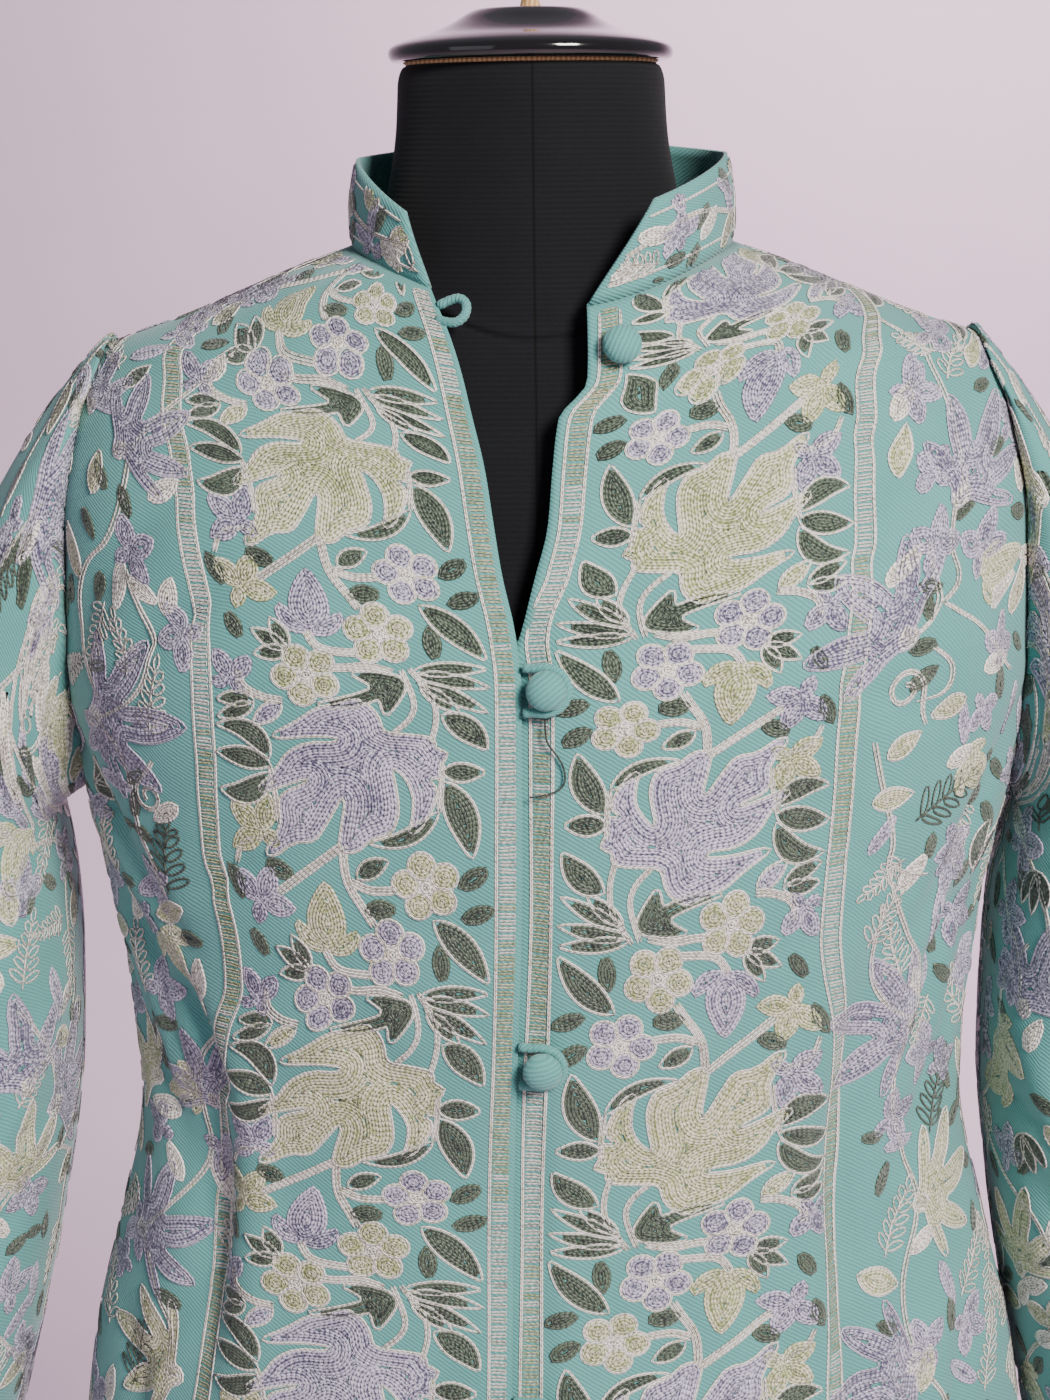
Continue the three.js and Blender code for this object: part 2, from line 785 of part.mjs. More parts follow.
function stand() {
  const baseTop = BASE_THICKNESS + 6;
  const base = turned(
    "stand_base",
    [
      [0, 0],
      [BASE_RADIUS, 0],
      [BASE_RADIUS, BASE_THICKNESS - 6],
      [BASE_RADIUS - 5, BASE_THICKNESS - 2],
      [BASE_RADIUS - 20, BASE_THICKNESS],
      [POLE_RADIUS + 14, baseTop],
      [0, baseTop],
    ],
    48,
    finishes.blackSteel,
  );
  const low = baseTop + SEAT_GAP;
  const high = FORM_BOTTOM_Z - SEAT_GAP;
  const pole = turned(
    "stand_pole",
    [
      [0, low],
      [POLE_RADIUS + 8, low],
      [POLE_RADIUS + 8, low + 18],
      [POLE_RADIUS, low + 24],
      [POLE_RADIUS, high - 26],
      [POLE_RADIUS + 20, high - 4],
      [POLE_RADIUS + 20, high],
      [0, high],
    ],
    24,
    finishes.blackSteel,
  );
  return [base, pole];
}

const coat = new THREE.Group();
coat.position.x = COAT_SHIFT_X;
coat.add(
  frontPanel("coat_front_right", -1),
  frontPanel("coat_front_left", 1),
  backPanel(),
  collar(),
  ...sleeveSides.map(sleeve),
  ...closures.map(button),
  ...closures.map((c) => (c.fastened ? fastenedLoop(c) : openLoop(c.number))),
);

const group = new THREE.Group();
group.add(coat, formBody(), cap(), peg(), ...stand());

export default group;
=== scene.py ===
"""A short coat on a dress form: cloth shells, chain-stitched flowers, looped buttons, form and foot."""

import math

import bpy
import numpy as np
from mathutils import Matrix, Vector


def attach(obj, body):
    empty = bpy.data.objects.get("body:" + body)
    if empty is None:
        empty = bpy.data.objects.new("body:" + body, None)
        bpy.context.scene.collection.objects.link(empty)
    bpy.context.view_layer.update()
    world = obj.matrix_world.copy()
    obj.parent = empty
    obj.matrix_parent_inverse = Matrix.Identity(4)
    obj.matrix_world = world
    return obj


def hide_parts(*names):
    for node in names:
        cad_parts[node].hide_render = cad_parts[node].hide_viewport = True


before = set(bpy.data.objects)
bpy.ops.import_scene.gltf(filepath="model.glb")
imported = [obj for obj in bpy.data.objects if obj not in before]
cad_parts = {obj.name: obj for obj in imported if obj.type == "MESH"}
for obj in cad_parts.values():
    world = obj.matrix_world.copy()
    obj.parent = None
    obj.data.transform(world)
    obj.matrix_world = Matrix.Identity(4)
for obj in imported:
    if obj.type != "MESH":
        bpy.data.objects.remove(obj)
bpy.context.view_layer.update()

bl_info = {
    "name": "Short coat on a dress form",
    "version": (1, 0, 0),
    "blender": (4, 5, 0),
    "location": "View3D > Sidebar > Short coat",
    "description": "Dresses the part: twill cloth, chain-stitched flowers, buttons, dress form and stand",
    "category": "Object",
}

MM = 0.001
# The coat hangs this far to the wearer's left of the pole
COAT_SHIFT_X = 4.0
CLOTH_UV = "ClothMM"

# Sizes of the coat, in millimetres, as the part has them
HEM_LEVEL, UNDERARM_LEVEL, TIP_LEVEL, NECK_LEVEL = 678.0, 1180.0, 1371.0, 1415.0
ARM_MIDDLE = (TIP_LEVEL + UNDERARM_LEVEL) / 2
ARM_HALF = (TIP_LEVEL - UNDERARM_LEVEL) / 2
ARMHOLE_FRONT_DEG, ARMHOLE_BACK_DEG = 10.0, 13.0
SLEEVE_TOP_Z = 1165.0
SLEEVE_LENGTH = 354.0
NECK_TOP_Z, FORM_BOTTOM_Z = 1485.0, 770.0

# Sections of the coat and of the form, each by its level
SECTION_NAMES = ["level", "halfWidth", "frontZ", "frontDepth", "backZ", "backDepth", "power"]
COAT_ROWS = [
    [678, 236, 672, 158, 672, 140, 2.05],
    [800, 226, 797, 150, 797, 134, 2.05],
    [864, 219, 862, 145, 862, 129, 2.05],
    [930, 210, 929, 138, 929, 122, 2.1],
    [975, 200, 975, 130, 975, 115, 2.1],
    [1040, 188, 1040, 123, 1040, 108, 2.1],
    [1107, 193, 1107, 128, 1107, 111, 2.1],
    [1180, 205, 1180, 133, 1180, 114, 2.15],
    [1240, 211, 1238, 133, 1240, 115, 2.25],
    [1300, 211, 1292, 118, 1298, 112, 2.25],
    [1345, 204, 1331, 100, 1338, 104, 2.05],
    [1371, 191, 1350, 92, 1360, 96, 1.7],
    [1385.667, 153.667, 1363, 86, 1378, 87, 1.75],
    [1400.333, 117.333, 1377, 80, 1397, 76, 1.9],
    [1415, 81, 1392, 74, 1420, 62, 2],
]
FORM_ROWS = [
    [770, 168, 770, 110, 770, 104, 2.2],
    [860, 172, 860, 116, 860, 108, 2.2],
    [960, 150, 960, 104, 960, 92, 2.2],
    [1040, 128, 1040, 94, 1040, 80, 2.2],
    [1110, 140, 1110, 102, 1110, 86, 2.2],
    [1180, 152, 1180, 117, 1180, 92, 2.2],
    [1240, 158, 1238, 121, 1240, 95, 2.2],
    [1300, 162, 1292, 103, 1298, 92, 2.1],
    [1345, 167, 1331, 86, 1338, 84, 1.9],
    [1366, 171, 1346, 77, 1356, 76, 1.7],
    [1375.28, 167.1, 1353, 74, 1366, 72, 1.6],
    [1393, 123.1, 1366, 69, 1384, 64, 1.7],
    [1411.15, 78.1, 1380, 63, 1406, 54, 1.9],
    [1420, 66.5, 1394, 60, 1420, 52, 2],
    [1440, 60.5, 1426, 57, 1440, 53, 2],
    [1462, 57, 1456, 55.5, 1462, 53.5, 2],
    [1485, 55.7, 1485, 55, 1485, 54, 2],
]
# The fronts' edges: level, and x of the right and of the left one
EDGE_ROWS = [
    [678, -24, -33],
    [930, -19, -28],
    [1040, -16.5, -25.5],
    [1180, -11.5, -20.5],
    [1253, -11, -20],
    [1275, -13, -11.5],
    [1300, -18, -5],
    [1320, -21, 0],
    [1345, -24.5, 2.2],
    [1371, -29.5, 5],
    [1385.667, -33, 16.5],
    [1400.333, -38, 17],
    [1415, -46, 17],
]

# Folds of the body: from an angle and level to another, half the width in degrees, and the depth.
# A depth below 0 is a trough.
BODY_FOLDS = [
    [-64, 1125, -58, 905, 3.2, -7],
    [-55.5, 1110, -50, 930, 3.5, 3.5],
    [54, 1140, 50, 900, 3.2, -7],
    [46.5, 1120, 43, 930, 3.5, 3.5],
    [-84, 1168, -62, 1085, 4, -4],
    [83, 1170, 60, 1095, 4, -4],
    [-80, 1010, -88, 690, 6, 5],
    [78, 1000, 86, 690, 6, 5],
    [112, 960, 108, 684, 7, 6],
    [138, 1010, 132, 684, 7, -5],
    [160, 930, 158, 684, 7, 5],
    [-112, 960, -110, 684, 7, 6],
    [-140, 1000, -134, 684, 7, -5],
    [-163, 930, -160, 684, 7, 5],
    [108, 1160, 124, 1040, 5, -4],
    [-108, 1160, -124, 1040, 5, -4],
    # finer creases, that only the cloth shells have
    [-80, 1222, -60, 1120, 2.8, -4.6],
    [-76, 1165, -62, 1010, 2.6, -4.2],
    [-70, 1066, -60, 975, 2.4, -3.8],
    [-68, 1110, -58, 1060, 2.2, -3.0],
    [-60, 1040, -64, 880, 3.2, -3.2],
    [-66, 900, -70, 700, 4, -4.2],
    [78, 1230, 60, 1120, 2.8, -5.6],
    [71, 1190, 67, 1040, 2.4, -5.2],
    [80, 1125, 64, 1010, 2.6, -4.2],
    [59, 1190, 55, 1060, 2.6, -2.8],
    [62, 1060, 58, 880, 3.4, -3.6],
    [70, 900, 74, 700, 4, -4.2],
    [62, 1335, 76, 1240, 3.4, -3.4],
    [55, 1356, 70, 1300, 2.4, -2.4],
    [-60, 1330, -76, 1250, 3.2, -3.2],
    [-52, 1300, -72, 1225, 3.4, -2.6],
    [-40, 1130, -24, 1060, 5, -2.0],
    [38, 1120, 22, 1050, 5, -2.0],
    [-30, 1010, -46, 930, 4, -1.8],
    [30, 1010, 44, 930, 4, -1.8],
    [-20, 1000, -30, 700, 6, -2.4],
    [22, 1000, 32, 700, 6, -2.4],
    [100, 1110, 150, 1060, 4, -3.0],
    [-100, 1105, -150, 1058, 4, -3.0],
    [128, 1330, 150, 1200, 5, -3.0],
    [-128, 1330, -150, 1200, 5, -3.0],
    [-71, 1145, -57, 1058, 2.2, -4.2],
    [-79, 1120, -66, 1000, 2.2, -4.2],
    [-62, 985, -72, 900, 2.4, -3.2],
    [74, 1150, 62, 1060, 2.2, -4],
    [84, 1180, 70, 1085, 2.4, -4],
    [-98, 1010, -104, 900, 3, -3.2],
    [98, 1000, 104, 890, 3, -3.2],
    [-50, 1290, -66, 1250, 2.4, -2.8],
    [-46, 1180, -60, 1150, 3, -2.2],
    [-84, 1215, -70, 1170, 2.4, -3.8],
    [-86, 1120, -72, 1040, 2.6, -4.2],
    [-74, 950, -66, 880, 2.4, -3.2],
    [-78, 860, -72, 760, 3, -3],
    [-44, 900, -50, 780, 4, -2.4],
    [-36, 820, -40, 690, 4, -2.2],
    [-12, 1165, -30, 1140, 4, -1.4],
    [50, 1300, 64, 1262, 2.6, -3.2],
    [46, 1250, 62, 1222, 2.8, -2.8],
    [48, 1180, 60, 1150, 3, -2.4],
    [86, 1150, 74, 1080, 2.6, -4.4],
    [88, 1100, 72, 1020, 2.6, -3.8],
    [72, 960, 64, 890, 2.4, -3.2],
    [76, 860, 70, 760, 3, -3],
    [42, 900, 46, 780, 4, -2.4],
    [34, 820, 38, 690, 4, -2.2],
    [10, 1000, 26, 985, 4, -1.4],
]

# Rings of a sleeve, each by its drop below the underarm
SLEEVE_NAMES = ["drop", "innerX", "outerX", "frontY", "backY"]
SLEEVE_ROWS = [
    [0, 211, 272, -64, 64],
    [35, 204, 269, -68, 65],
    [70, 201, 268, -67, 63],
    [120, 200, 267, -66, 59],
    [195, 207, 272, -65, 52],
    [250, 216, 279, -64, 46],
    [300, 226, 287, -61, 42],
    [354, 236, 293, -58, 39],
]
# Folds of a sleeve: from a drop below the underarm and a turn to another, half the width and the depth.
# The turn is 0 at the underarm, 90 at the front and 180 outside.
SLEEVE_FOLDS = [
    [35, -60, 130, 40, 16, -5],
    [60, 20, 150, 130, 15, -5],
    [20, 60, 110, 190, 15, 4],
    [45, 150, 140, 260, 15, -4.5],
    [230, 10, 320, 110, 17, -5],
    [225, 110, 310, 230, 16, 4],
    [240, 210, 320, 320, 16, -4],
    # finer creases
    [70, 70, 160, 120, 8, -2.4],
    [60, 190, 150, 232, 8, -2.6],
    [70, 262, 165, 300, 9, 2.0],
    [200, 60, 290, 110, 8, -2.2],
    [205, 180, 300, 225, 8, -2.2],
    [90, 95, 200, 60, 7, -2.6],
    [130, 130, 230, 170, 7, -2.6],
    [80, 300, 170, 335, 7, -2.2],
    [20, 120, 100, 150, 8, -2.6],
    [110, 20, 180, 60, 8, -2.4],
]
# The collar: angle round the neck from the front, its rise and how far it leans out
COLLAR_ROWS = [
    [13, 33, 5],
    [50, 34, 1],
    [90, 36, -3],
    [180, 38, -4],
    [270, 35, -3],
    [323, 23, 1],
]
COLLAR_SLANT_LEFT_DEG, COLLAR_SLANT_RIGHT_DEG = 22.0, 9.0

# Buttons and their loops: number, level, x, fastened
CLOSURES = [
    [1, 1396.0, 29.7, False],
    [2, 1252.5, -1.5, True],
    [3, 1092.0, -4.5, True],
    [4, 938.0, -7.5, True],
]
OPEN_LOOP_LEVEL = 1408.0
LOOP_RADIUS, LOOSE_THREAD_RADIUS = 1.9, 0.42
BUTTON_RADIUS, BUTTON_HALF_HEIGHT, BUTTON_MIDDLE = 7.9, 5.6, 5.9

# Where the stitched side bands run: level, and the angle on the wearer's right and left
SIDE_BANDS = [
    [676, -57, 46.5],
    [760, -57.8, 47.4],
    [860, -58.6, 46.2],
    [924, -58.7, 45.9],
    [968, -60.4, 48.2],
    [1011, -62.2, 50.4],
    [1042, -61.3, 51.9],
    [1060, -60.2, 51.6],
    [1094, -56.8, 50],
    [1118, -53.6, 47.8],
    [1142, -52.9, 45.9],
    [1168, -53.5, 45.5],
    [1199, -53, 45.7],
    [1220, -52.4, 45.6],
    [1242, -52.3, 45.9],
    [1262, -53, 47.4],
    [1282, -54.8, 49.6],
    [1302, -57, 51.6],
    [1320, -60, 53.8],
    [1338, -63.4, 57.1],
    [1357, -68.8, 61.3],
    [1378, -75.8, 69.3],
    [1387, -80.5, 77.4],
    [1397, -87.5, 87],
]
BAND_HALF, RUNG_SPACING = 4.3, 3.1
PATTERN_WIDTH = 110.0
PATTERN_REPEAT = 133.0
# Heights that the collar's and the sleeves' grids count up to
COLLAR_HEIGHT, SLEEVE_SPAN = 36.0, 480.0
# The right front laps over the left up to these levels, and lies this far above it
LAP_CLOSED_LEVEL, LAP_OPEN_LEVEL, LAP_DEPTH = 1277, 1290, 3
# Where the big-leaf pattern starts beyond the middle of the side band, and ends short of the edge or its band
PANEL_START, PANEL_END_RIGHT, PANEL_END_LEFT = 5.4, 11.4, 6
# Scattered motifs keep this far from the middle of the side band
BAND_CLEARANCE = 16

# Columns and rows of the cloth's grids
FRONT_COLUMNS, BACK_COLUMNS = 64, 120
SLEEVE_COLUMNS, HEAD_ROWS, LOWER_ROWS = 64, 34, 62
COLLAR_COLUMNS, COLLAR_GRID_ROWS = 90, 10
# No stitch comes closer than this to a raw edge or a seam
EDGE_CLEARANCE, HEM_CLEARANCE = 2.2, 2.0

# Chain stitch: the threads, and the widths of an outline row and of a filling row
CREAM, VIOLET, PISTACHIO, MOSS = range(4)
ROW_WIDTH, FILL_WIDTH = 1.35, 2.5
# How far a row's middle and its sides stand above the cloth
ROW_RISE, ROW_FOOT = 0.62, 0.2
# One link of the chain, and the twill's ribs: how far apart they are and how steeply they run
STITCH_LENGTH = 2.3
TWILL_PITCH, TWILL_SLOPE = 1.5, 1.6
# The jersey's ribs, drawn about twice as far apart as they are knitted, so that they show
JERSEY_PITCH = 2.1

# The form's jersey turns in at the top over this height, and rises round the cap's rim
NECK_TURN, NECK_TURN_IN, NECK_TURN_UP, NECK_LIP = 7.0, 3.6, 2.3, -4.6
# The seam at the foot of the neck: the level of its ridge and of the groove below, and their height
NECK_RIDGE_LEVEL, NECK_GROOVE_LEVEL, NECK_RIDGE = 1411.5, 1408.6, 1.1

# Turned parts, as radius and height
CAP_SEAT_Z, PEG_SEAT_Z = 1485.35, 1508.1
CAP_PROFILE = [
    [56, 3.05], [58.6, 3.4], [60, 6.5], [58.8, 9.6], [52, 12.2], [42, 14.6], [33, 18.6], [27, 22.4],
    [23, 24.3], [20.5, 24], [19.5, 22.6],
]  # fmt: skip
RIM_PROFILE = [[49, 0], [51.5, 1.2], [53.5, 2.95]]
PEG_PROFILE = [[5.2, 0], [5.4, 1.6], [4, 3], [3.4, 8], [4.6, 11], [3.4, 13.4]]
BASE_PROFILE = [[190, 0], [190, 8], [185, 12], [170, 14], [30, 20]]
POLE_PROFILE = [[24, 20.35], [24, 38.35], [16, 44.35], [16, 743.65], [36, 765.65], [36, 769.65]]

# The stage, in metres: the floor's edges, the curve up to the wall and the wall's top
FLOOR_HALF, FLOOR_BACK, SWEEP_RADIUS, WALL_TOP = 6.0, 3.4, 0.9, 5.5
# Lights: name, place, aim, size, power in watts, colour
LIGHTS = [
    ["key_light", (1.1, -1.9, 2.5), (0, 0, 1.2), 0.7, 118, "fff8f2"],
    ["fill_light", (-1.8, -1.6, 1.5), (0, 0, 1.1), 1.6, 5, "eef0ff"],
    ["wall_light", (1.2, 2.4, 2.9), (0.5, 4.3, 1.0), 1.6, 128, "ffeaf4"],
]
ROOM_COLOUR, ROOM_STRENGTH = "e2ddea", 0.3
# The camera looks down by its pitch and leans by its roll
CAMERA_PLACE, CAMERA_PITCH_DEG, CAMERA_ROLL_DEG = (-0.0057, -0.978, 1.452), 13.7, -0.7
CAMERA_LENS, SENSOR_HEIGHT = 57.86, 36


# Curves and surfaces


def steady_slopes(keys, values):
    steps = np.diff(values) / np.diff(keys)
    slopes = np.zeros(len(values))
    slopes[0], slopes[-1] = steps[0], steps[-1]
    before, after = steps[:-1], steps[1:]
    both = before * after > 0
    slopes[1:-1][both] = 2 * (before * after)[both] / (before + after)[both]
    return slopes


class Curves:
    """Named columns over a first column, read as smooth curves with no overshoot between rows."""

    def __init__(self, names, rows):
        table = np.array(rows, float)
        self.keys = table[:, 0]
        self.values = {n: table[:, i + 1] for i, n in enumerate(names[1:])}
        self.slopes = {n: steady_slopes(self.keys, v) for n, v in self.values.items()}

    def __call__(self, name, key):
        at = np.clip(np.asarray(key, float), self.keys[0], self.keys[-1])
        i = np.clip(np.searchsorted(self.keys, at), 1, len(self.keys) - 1)
        v, s = self.values[name], self.slopes[name]
        span = self.keys[i] - self.keys[i - 1]
        t = (at - self.keys[i - 1]) / span
        low = v[i - 1] * (1 + 2 * t) * (1 - t) ** 2 + span * s[i - 1] * t * (1 - t) ** 2
        return low + v[i] * t * t * (3 - 2 * t) - span * s[i] * t * t * (1 - t)


COAT = Curves(SECTION_NAMES, COAT_ROWS)
FORM = Curves(SECTION_NAMES, FORM_ROWS)
EDGES = Curves(["level", "right", "left"], EDGE_ROWS)
SLEEVE = Curves(SLEEVE_NAMES, SLEEVE_ROWS)
COLLAR = Curves(["deg", "rise", "lean"], COLLAR_ROWS)
BANDS = Curves(["level", "right", "left"], SIDE_BANDS)


def section_point(sections, phi, level, extra=0.0):
    """A point of a body surface, by its angle from the front towards +X and its level."""
    c, s = np.cos(phi), np.sin(phi)
    front = c > 0
    depth = np.where(front, sections("frontDepth", level), sections("backDepth", level))
    end = np.where(front, sections("frontZ", level), sections("backZ", level))
    power = sections("power", level)
    total = np.abs(s / sections("halfWidth", level)) ** power + np.abs(c / depth) ** power
    r = total ** (-1 / power) + extra
    return np.stack([r * s, -r * c, level + (end - level) * c * c], -1)


def fold_depth(folds, across, along):
    """How far folds lift or sink the cloth. Each fades out at both ends."""
    depth = np.zeros(np.broadcast(across, along).shape)
    for from_a, from_b, to_a, to_b, half, deep in folds:
        t = (along - from_b) / (to_b - from_b)
        inside = (t > 0) & (t < 1)
        tt = np.clip(t, 0, 1)
        off = (across - (from_a + (to_a - from_a) * tt)) / half
        depth += np.where(inside, deep * np.sin(np.pi * tt) ** 0.7 * np.exp(-off * off), 0)
    return depth


def coat_point(phi, level):
    deg = np.degrees(np.arctan2(np.sin(phi), np.cos(phi)))
    return section_point(COAT, phi, level, fold_depth(BODY_FOLDS, deg, level))


def unit(v):
    """Vectors of the same directions, one long."""
    return v / np.maximum(np.linalg.norm(v, axis=-1, keepdims=True), 1e-9)


def lengths_along(points, axis=0):
    """How far each point of a line or a grid lies along it, from 0 at its first."""
    steps = np.linalg.norm(np.diff(points, axis=axis), axis=-1)
    return np.concatenate([np.zeros_like(np.take(steps, [0], axis)), np.cumsum(steps, axis)], axis)


def coat_normal(phi, level):
    around = coat_point(phi + 0.01, level) - coat_point(phi - 0.01, level)
    above, below = np.minimum(level + 1, NECK_LEVEL), np.maximum(level - 1, HEM_LEVEL)
    return unit(np.cross(around, coat_point(phi, above) - coat_point(phi, below)))


def phi_at_x(x, level):
    phi = np.zeros(np.broadcast(x, level).shape)
    for _ in range(6):
        p = section_point(COAT, phi, level)
        phi = np.arcsin(np.clip(x / np.hypot(p[..., 0], p[..., 1]), -1, 1))
    return phi


def smooth_step(x, low, high):
    t = np.clip((x - low) / (high - low), 0, 1)
    return t * t * (3 - 2 * t)


def armhole_cut(level, deg):
    """How far the armhole cuts in from the side, as an angle."""
    q = (ARM_MIDDLE - level) / ARM_HALF
    return np.radians(deg) * np.sqrt(np.clip(1 - q * q, 0, 1))


def normals_of(points, wraps):
    """Normals of a grid whose rows run up and whose columns run anticlockwise."""
    if wraps:
        around = np.roll(points, -1, 1) - np.roll(points, 1, 1)
    else:
        around = np.gradient(points, axis=1)
    up = np.gradient(points, axis=0)
    return unit(np.cross(around, up))


class Panel:
    """A piece of cloth as a grid, with lengths across and a height for each row.

    Its rows run up and its columns anticlockwise.
    """

    def __init__(self, points, normals, heights, zero_share, wraps=False):
        self.points, self.normals, self.heights, self.wraps = points, normals, heights, wraps
        loop = np.concatenate([points, points[:, :1]], 1) if wraps else points
        self.loop = loop
        self.loop_normals = np.concatenate([normals, normals[:, :1]], 1) if wraps else normals
        self.lengths = lengths_along(loop, 1)
        zero = zero_share * (loop.shape[1] - 1)
        i = min(int(zero), loop.shape[1] - 2)
        at_zero = self.lengths[:, i] + (zero - i) * (self.lengths[:, i + 1] - self.lengths[:, i])
        self.lengths = self.lengths - at_zero[:, None]
        self.rises = lengths_along(loop)
        self.low, self.high = self.lengths.min(), self.lengths.max()
        self.inverse_step = 1.5
        samples = np.arange(self.low, self.high + self.inverse_step, self.inverse_step)
        columns = np.arange(loop.shape[1])
        self.inverse = np.array([np.interp(samples, row, columns) for row in self.lengths])

    def sample(self, grid, row, column):
        rows, columns = grid.shape[:2]
        r = np.clip(row, 0, rows - 1.001)
        c = np.clip(column, 0, columns - 1.001)
        i, j = r.astype(int), c.astype(int)
        fr, fc = r - i, c - j
        if grid.ndim == 3:
            fr, fc = fr[:, None], fc[:, None]
        low = grid[i, j] * (1 - fc) + grid[i, j + 1] * fc
        high = grid[i + 1, j] * (1 - fc) + grid[i + 1, j + 1] * fc
        return low * (1 - fr) + high * fr

    def at_grid(self, row, column):
        point = self.sample(self.loop, row, column)
        normal = self.sample(self.loop_normals, row, column)
        return point, unit(normal)

    def at(self, across, height):
        """Points and normals at a length across and a height, and which of them are on the cloth."""
        row = np.interp(height, self.heights, np.arange(len(self.heights)))
        column = self.sample(self.inverse, row, (across - self.low) / self.inverse_step)
        point, normal = self.at_grid(row, column)
        on = (height > self.heights[0] + HEM_CLEARANCE) & (height < self.heights[-1] - HEM_CLEARANCE)
        if not self.wraps:
            r = np.arange(len(self.heights))
            on &= across > np.interp(row, r, self.lengths[:, 0]) + EDGE_CLEARANCE
            on &= across < np.interp(row, r, self.lengths[:, -1]) - EDGE_CLEARANCE
        return point, normal, on


LEVELS = np.concatenate(
    [
        np.linspace(HEM_LEVEL, UNDERARM_LEVEL, 101)[:-1],
        ARM_MIDDLE - ARM_HALF * np.cos(np.pi * np.linspace(0, 1, 45)),
        np.linspace(TIP_LEVEL, NECK_LEVEL, 12)[1:],
    ]
)


def seam_dip(panel_points, normals, edges, deep=0.8, reach=3.0):
    """Presses the cloth in beside its seams."""
    dip = np.zeros(panel_points.shape[:2])
    lengths = lengths_along(panel_points, 1)
    if "first" in edges:
        dip += np.exp(-((lengths / reach) ** 2))
    if "last" in edges:
        dip += np.exp(-(((lengths - lengths[:, -1:]) / reach) ** 2))
    if "top" in edges:
        dip[-2:] += np.array([[0.5], [1.0]])
    return panel_points - normals * (deep * np.minimum(dip, 1))[..., None]


def front_grid(side):
    name = "right" if side < 0 else "left"
    levels = LEVELS[:, None]
    first = phi_at_x(EDGES(name, LEVELS), LEVELS)[:, None]
    last = side * (np.pi / 2 - armhole_cut(levels, ARMHOLE_FRONT_DEG))
    phi = first + (last - first) * np.linspace(0, 1, FRONT_COLUMNS)
    level = np.broadcast_to(levels, phi.shape)
    points, normals = coat_point(phi, level), coat_normal(phi, level)
    if side > 0:
        closed = 1 - smooth_step(level, LAP_CLOSED_LEVEL, LAP_OPEN_LEVEL)
        under = 1 - smooth_step(points[..., 0], -9.5, 3)
        points = points - normals * (LAP_DEPTH * under * closed)[..., None]
        return seam_dip(points, normals, ["last", "top"]), normals
    points, normals = points[:, ::-1], normals[:, ::-1]
    return seam_dip(points, normals, ["first", "top"]), normals


def back_grid():
    levels = LEVELS[:, None]
    first = np.pi / 2 + armhole_cut(levels, ARMHOLE_BACK_DEG)
    phi = first + (2 * np.pi - 2 * first) * np.linspace(0, 1, BACK_COLUMNS)
    level = np.broadcast_to(levels, phi.shape)
    points, normals = coat_point(phi, level), coat_normal(phi, level)
    return seam_dip(points, normals, ["first", "last", "top"]), normals


def sleeve_ring(side, swing, drop, turn):
    out = swing * drop / SLEEVE_LENGTH + swing * 10 / 24
    inner, outer = SLEEVE("innerX", drop), SLEEVE("outerX", drop)
    front, back = SLEEVE("frontY", drop), SLEEVE("backY", drop)
    fold = fold_depth(SLEEVE_FOLDS, np.degrees(turn), np.full(turn.shape, drop))
    x = side * ((inner + outer) / 2 + out - ((outer - inner) / 2 + fold) * np.cos(turn))
    y = (front + back) / 2 - ((back - front) / 2 + fold) * np.sin(turn)
    return np.stack([x, y, np.full(turn.shape, SLEEVE_TOP_Z - drop)], -1)


def sleeve_grid(side, swing):
    """Rings of a sleeve from the cuff up to its seam."""
    turn = 2 * np.pi * np.arange(SLEEVE_COLUMNS) / SLEEVE_COLUMNS
    deg = np.where(turn <= np.pi, ARMHOLE_FRONT_DEG, -ARMHOLE_BACK_DEG)
    level = ARM_MIDDLE - ARM_HALF * np.cos(turn)
    phi = side * (np.pi / 2 - np.radians(deg) * np.abs(np.sin(turn)))
    under = ((1 + np.cos(turn)) / 2) ** 2
    start = coat_point(phi, level)
    normal = coat_normal(phi, level) * (1 - under)[:, None]
    normal[:, 2] -= under
    normal = unit(normal)
    along = np.roll(start, -1, 0) - np.roll(start, 1, 0)
    out = unit(-side * np.cross(unit(along), normal))
    over = ((1 - np.cos(turn)) / 2)[:, None]
    start = start + out * 0.3
    leave = start + out * (3 + 44 * over)
    end = sleeve_ring(side, swing, 0.0, turn)
    arrive = end + np.concatenate([-side * 2 * over, 0 * over, 8 + 132 * over], 1)
    rings = []
    for t in np.linspace(0, 1, HEAD_ROWS):
        s = 1 - t
        ring = start * s**3 + leave * 3 * s * s * t + arrive * 3 * s * t * t + end * t**3
        rings.append(ring - normal * (0.8 * math.exp(-((t * 26) ** 2))))
    for drop in np.linspace(0, SLEEVE_LENGTH, LOWER_ROWS)[1:]:
        rings.append(sleeve_ring(side, swing, drop, turn))
    grid = np.array(rings[::-1])
    if side < 0:
        grid = grid[:, ::-1]
    return grid, normals_of(grid, True)


def collar_grid():
    level = np.array(NECK_LEVEL)
    low = math.degrees(phi_at_x(EDGES("left", level), level))
    high = 360 + math.degrees(phi_at_x(EDGES("right", level), level))
    rise = np.linspace(0, 1, COLLAR_GRID_ROWS)[:, None]
    start = low + COLLAR_SLANT_LEFT_DEG * rise
    end = high - COLLAR_SLANT_RIGHT_DEG * rise
    deg = start + (end - start) * np.linspace(0, 1, COLLAR_COLUMNS)
    phi = np.radians(deg)
    flat = np.broadcast_to(level, phi.shape)
    upright = coat_normal(phi, flat)
    upright[..., 2] = 0
    upright = unit(upright)
    bow = 0.9 * np.sin(np.pi * rise)
    points = coat_point(phi, flat) + upright * (COLLAR("lean", deg) * rise**2 + bow)[..., None]
    points[..., 2] += COLLAR("rise", deg) * rise - 1.4 * (1 - rise) ** 6
    return points, normals_of(points, False)


# Meshes


def shift(points):
    return (points + np.array([COAT_SHIFT_X, 0, 0])) * MM


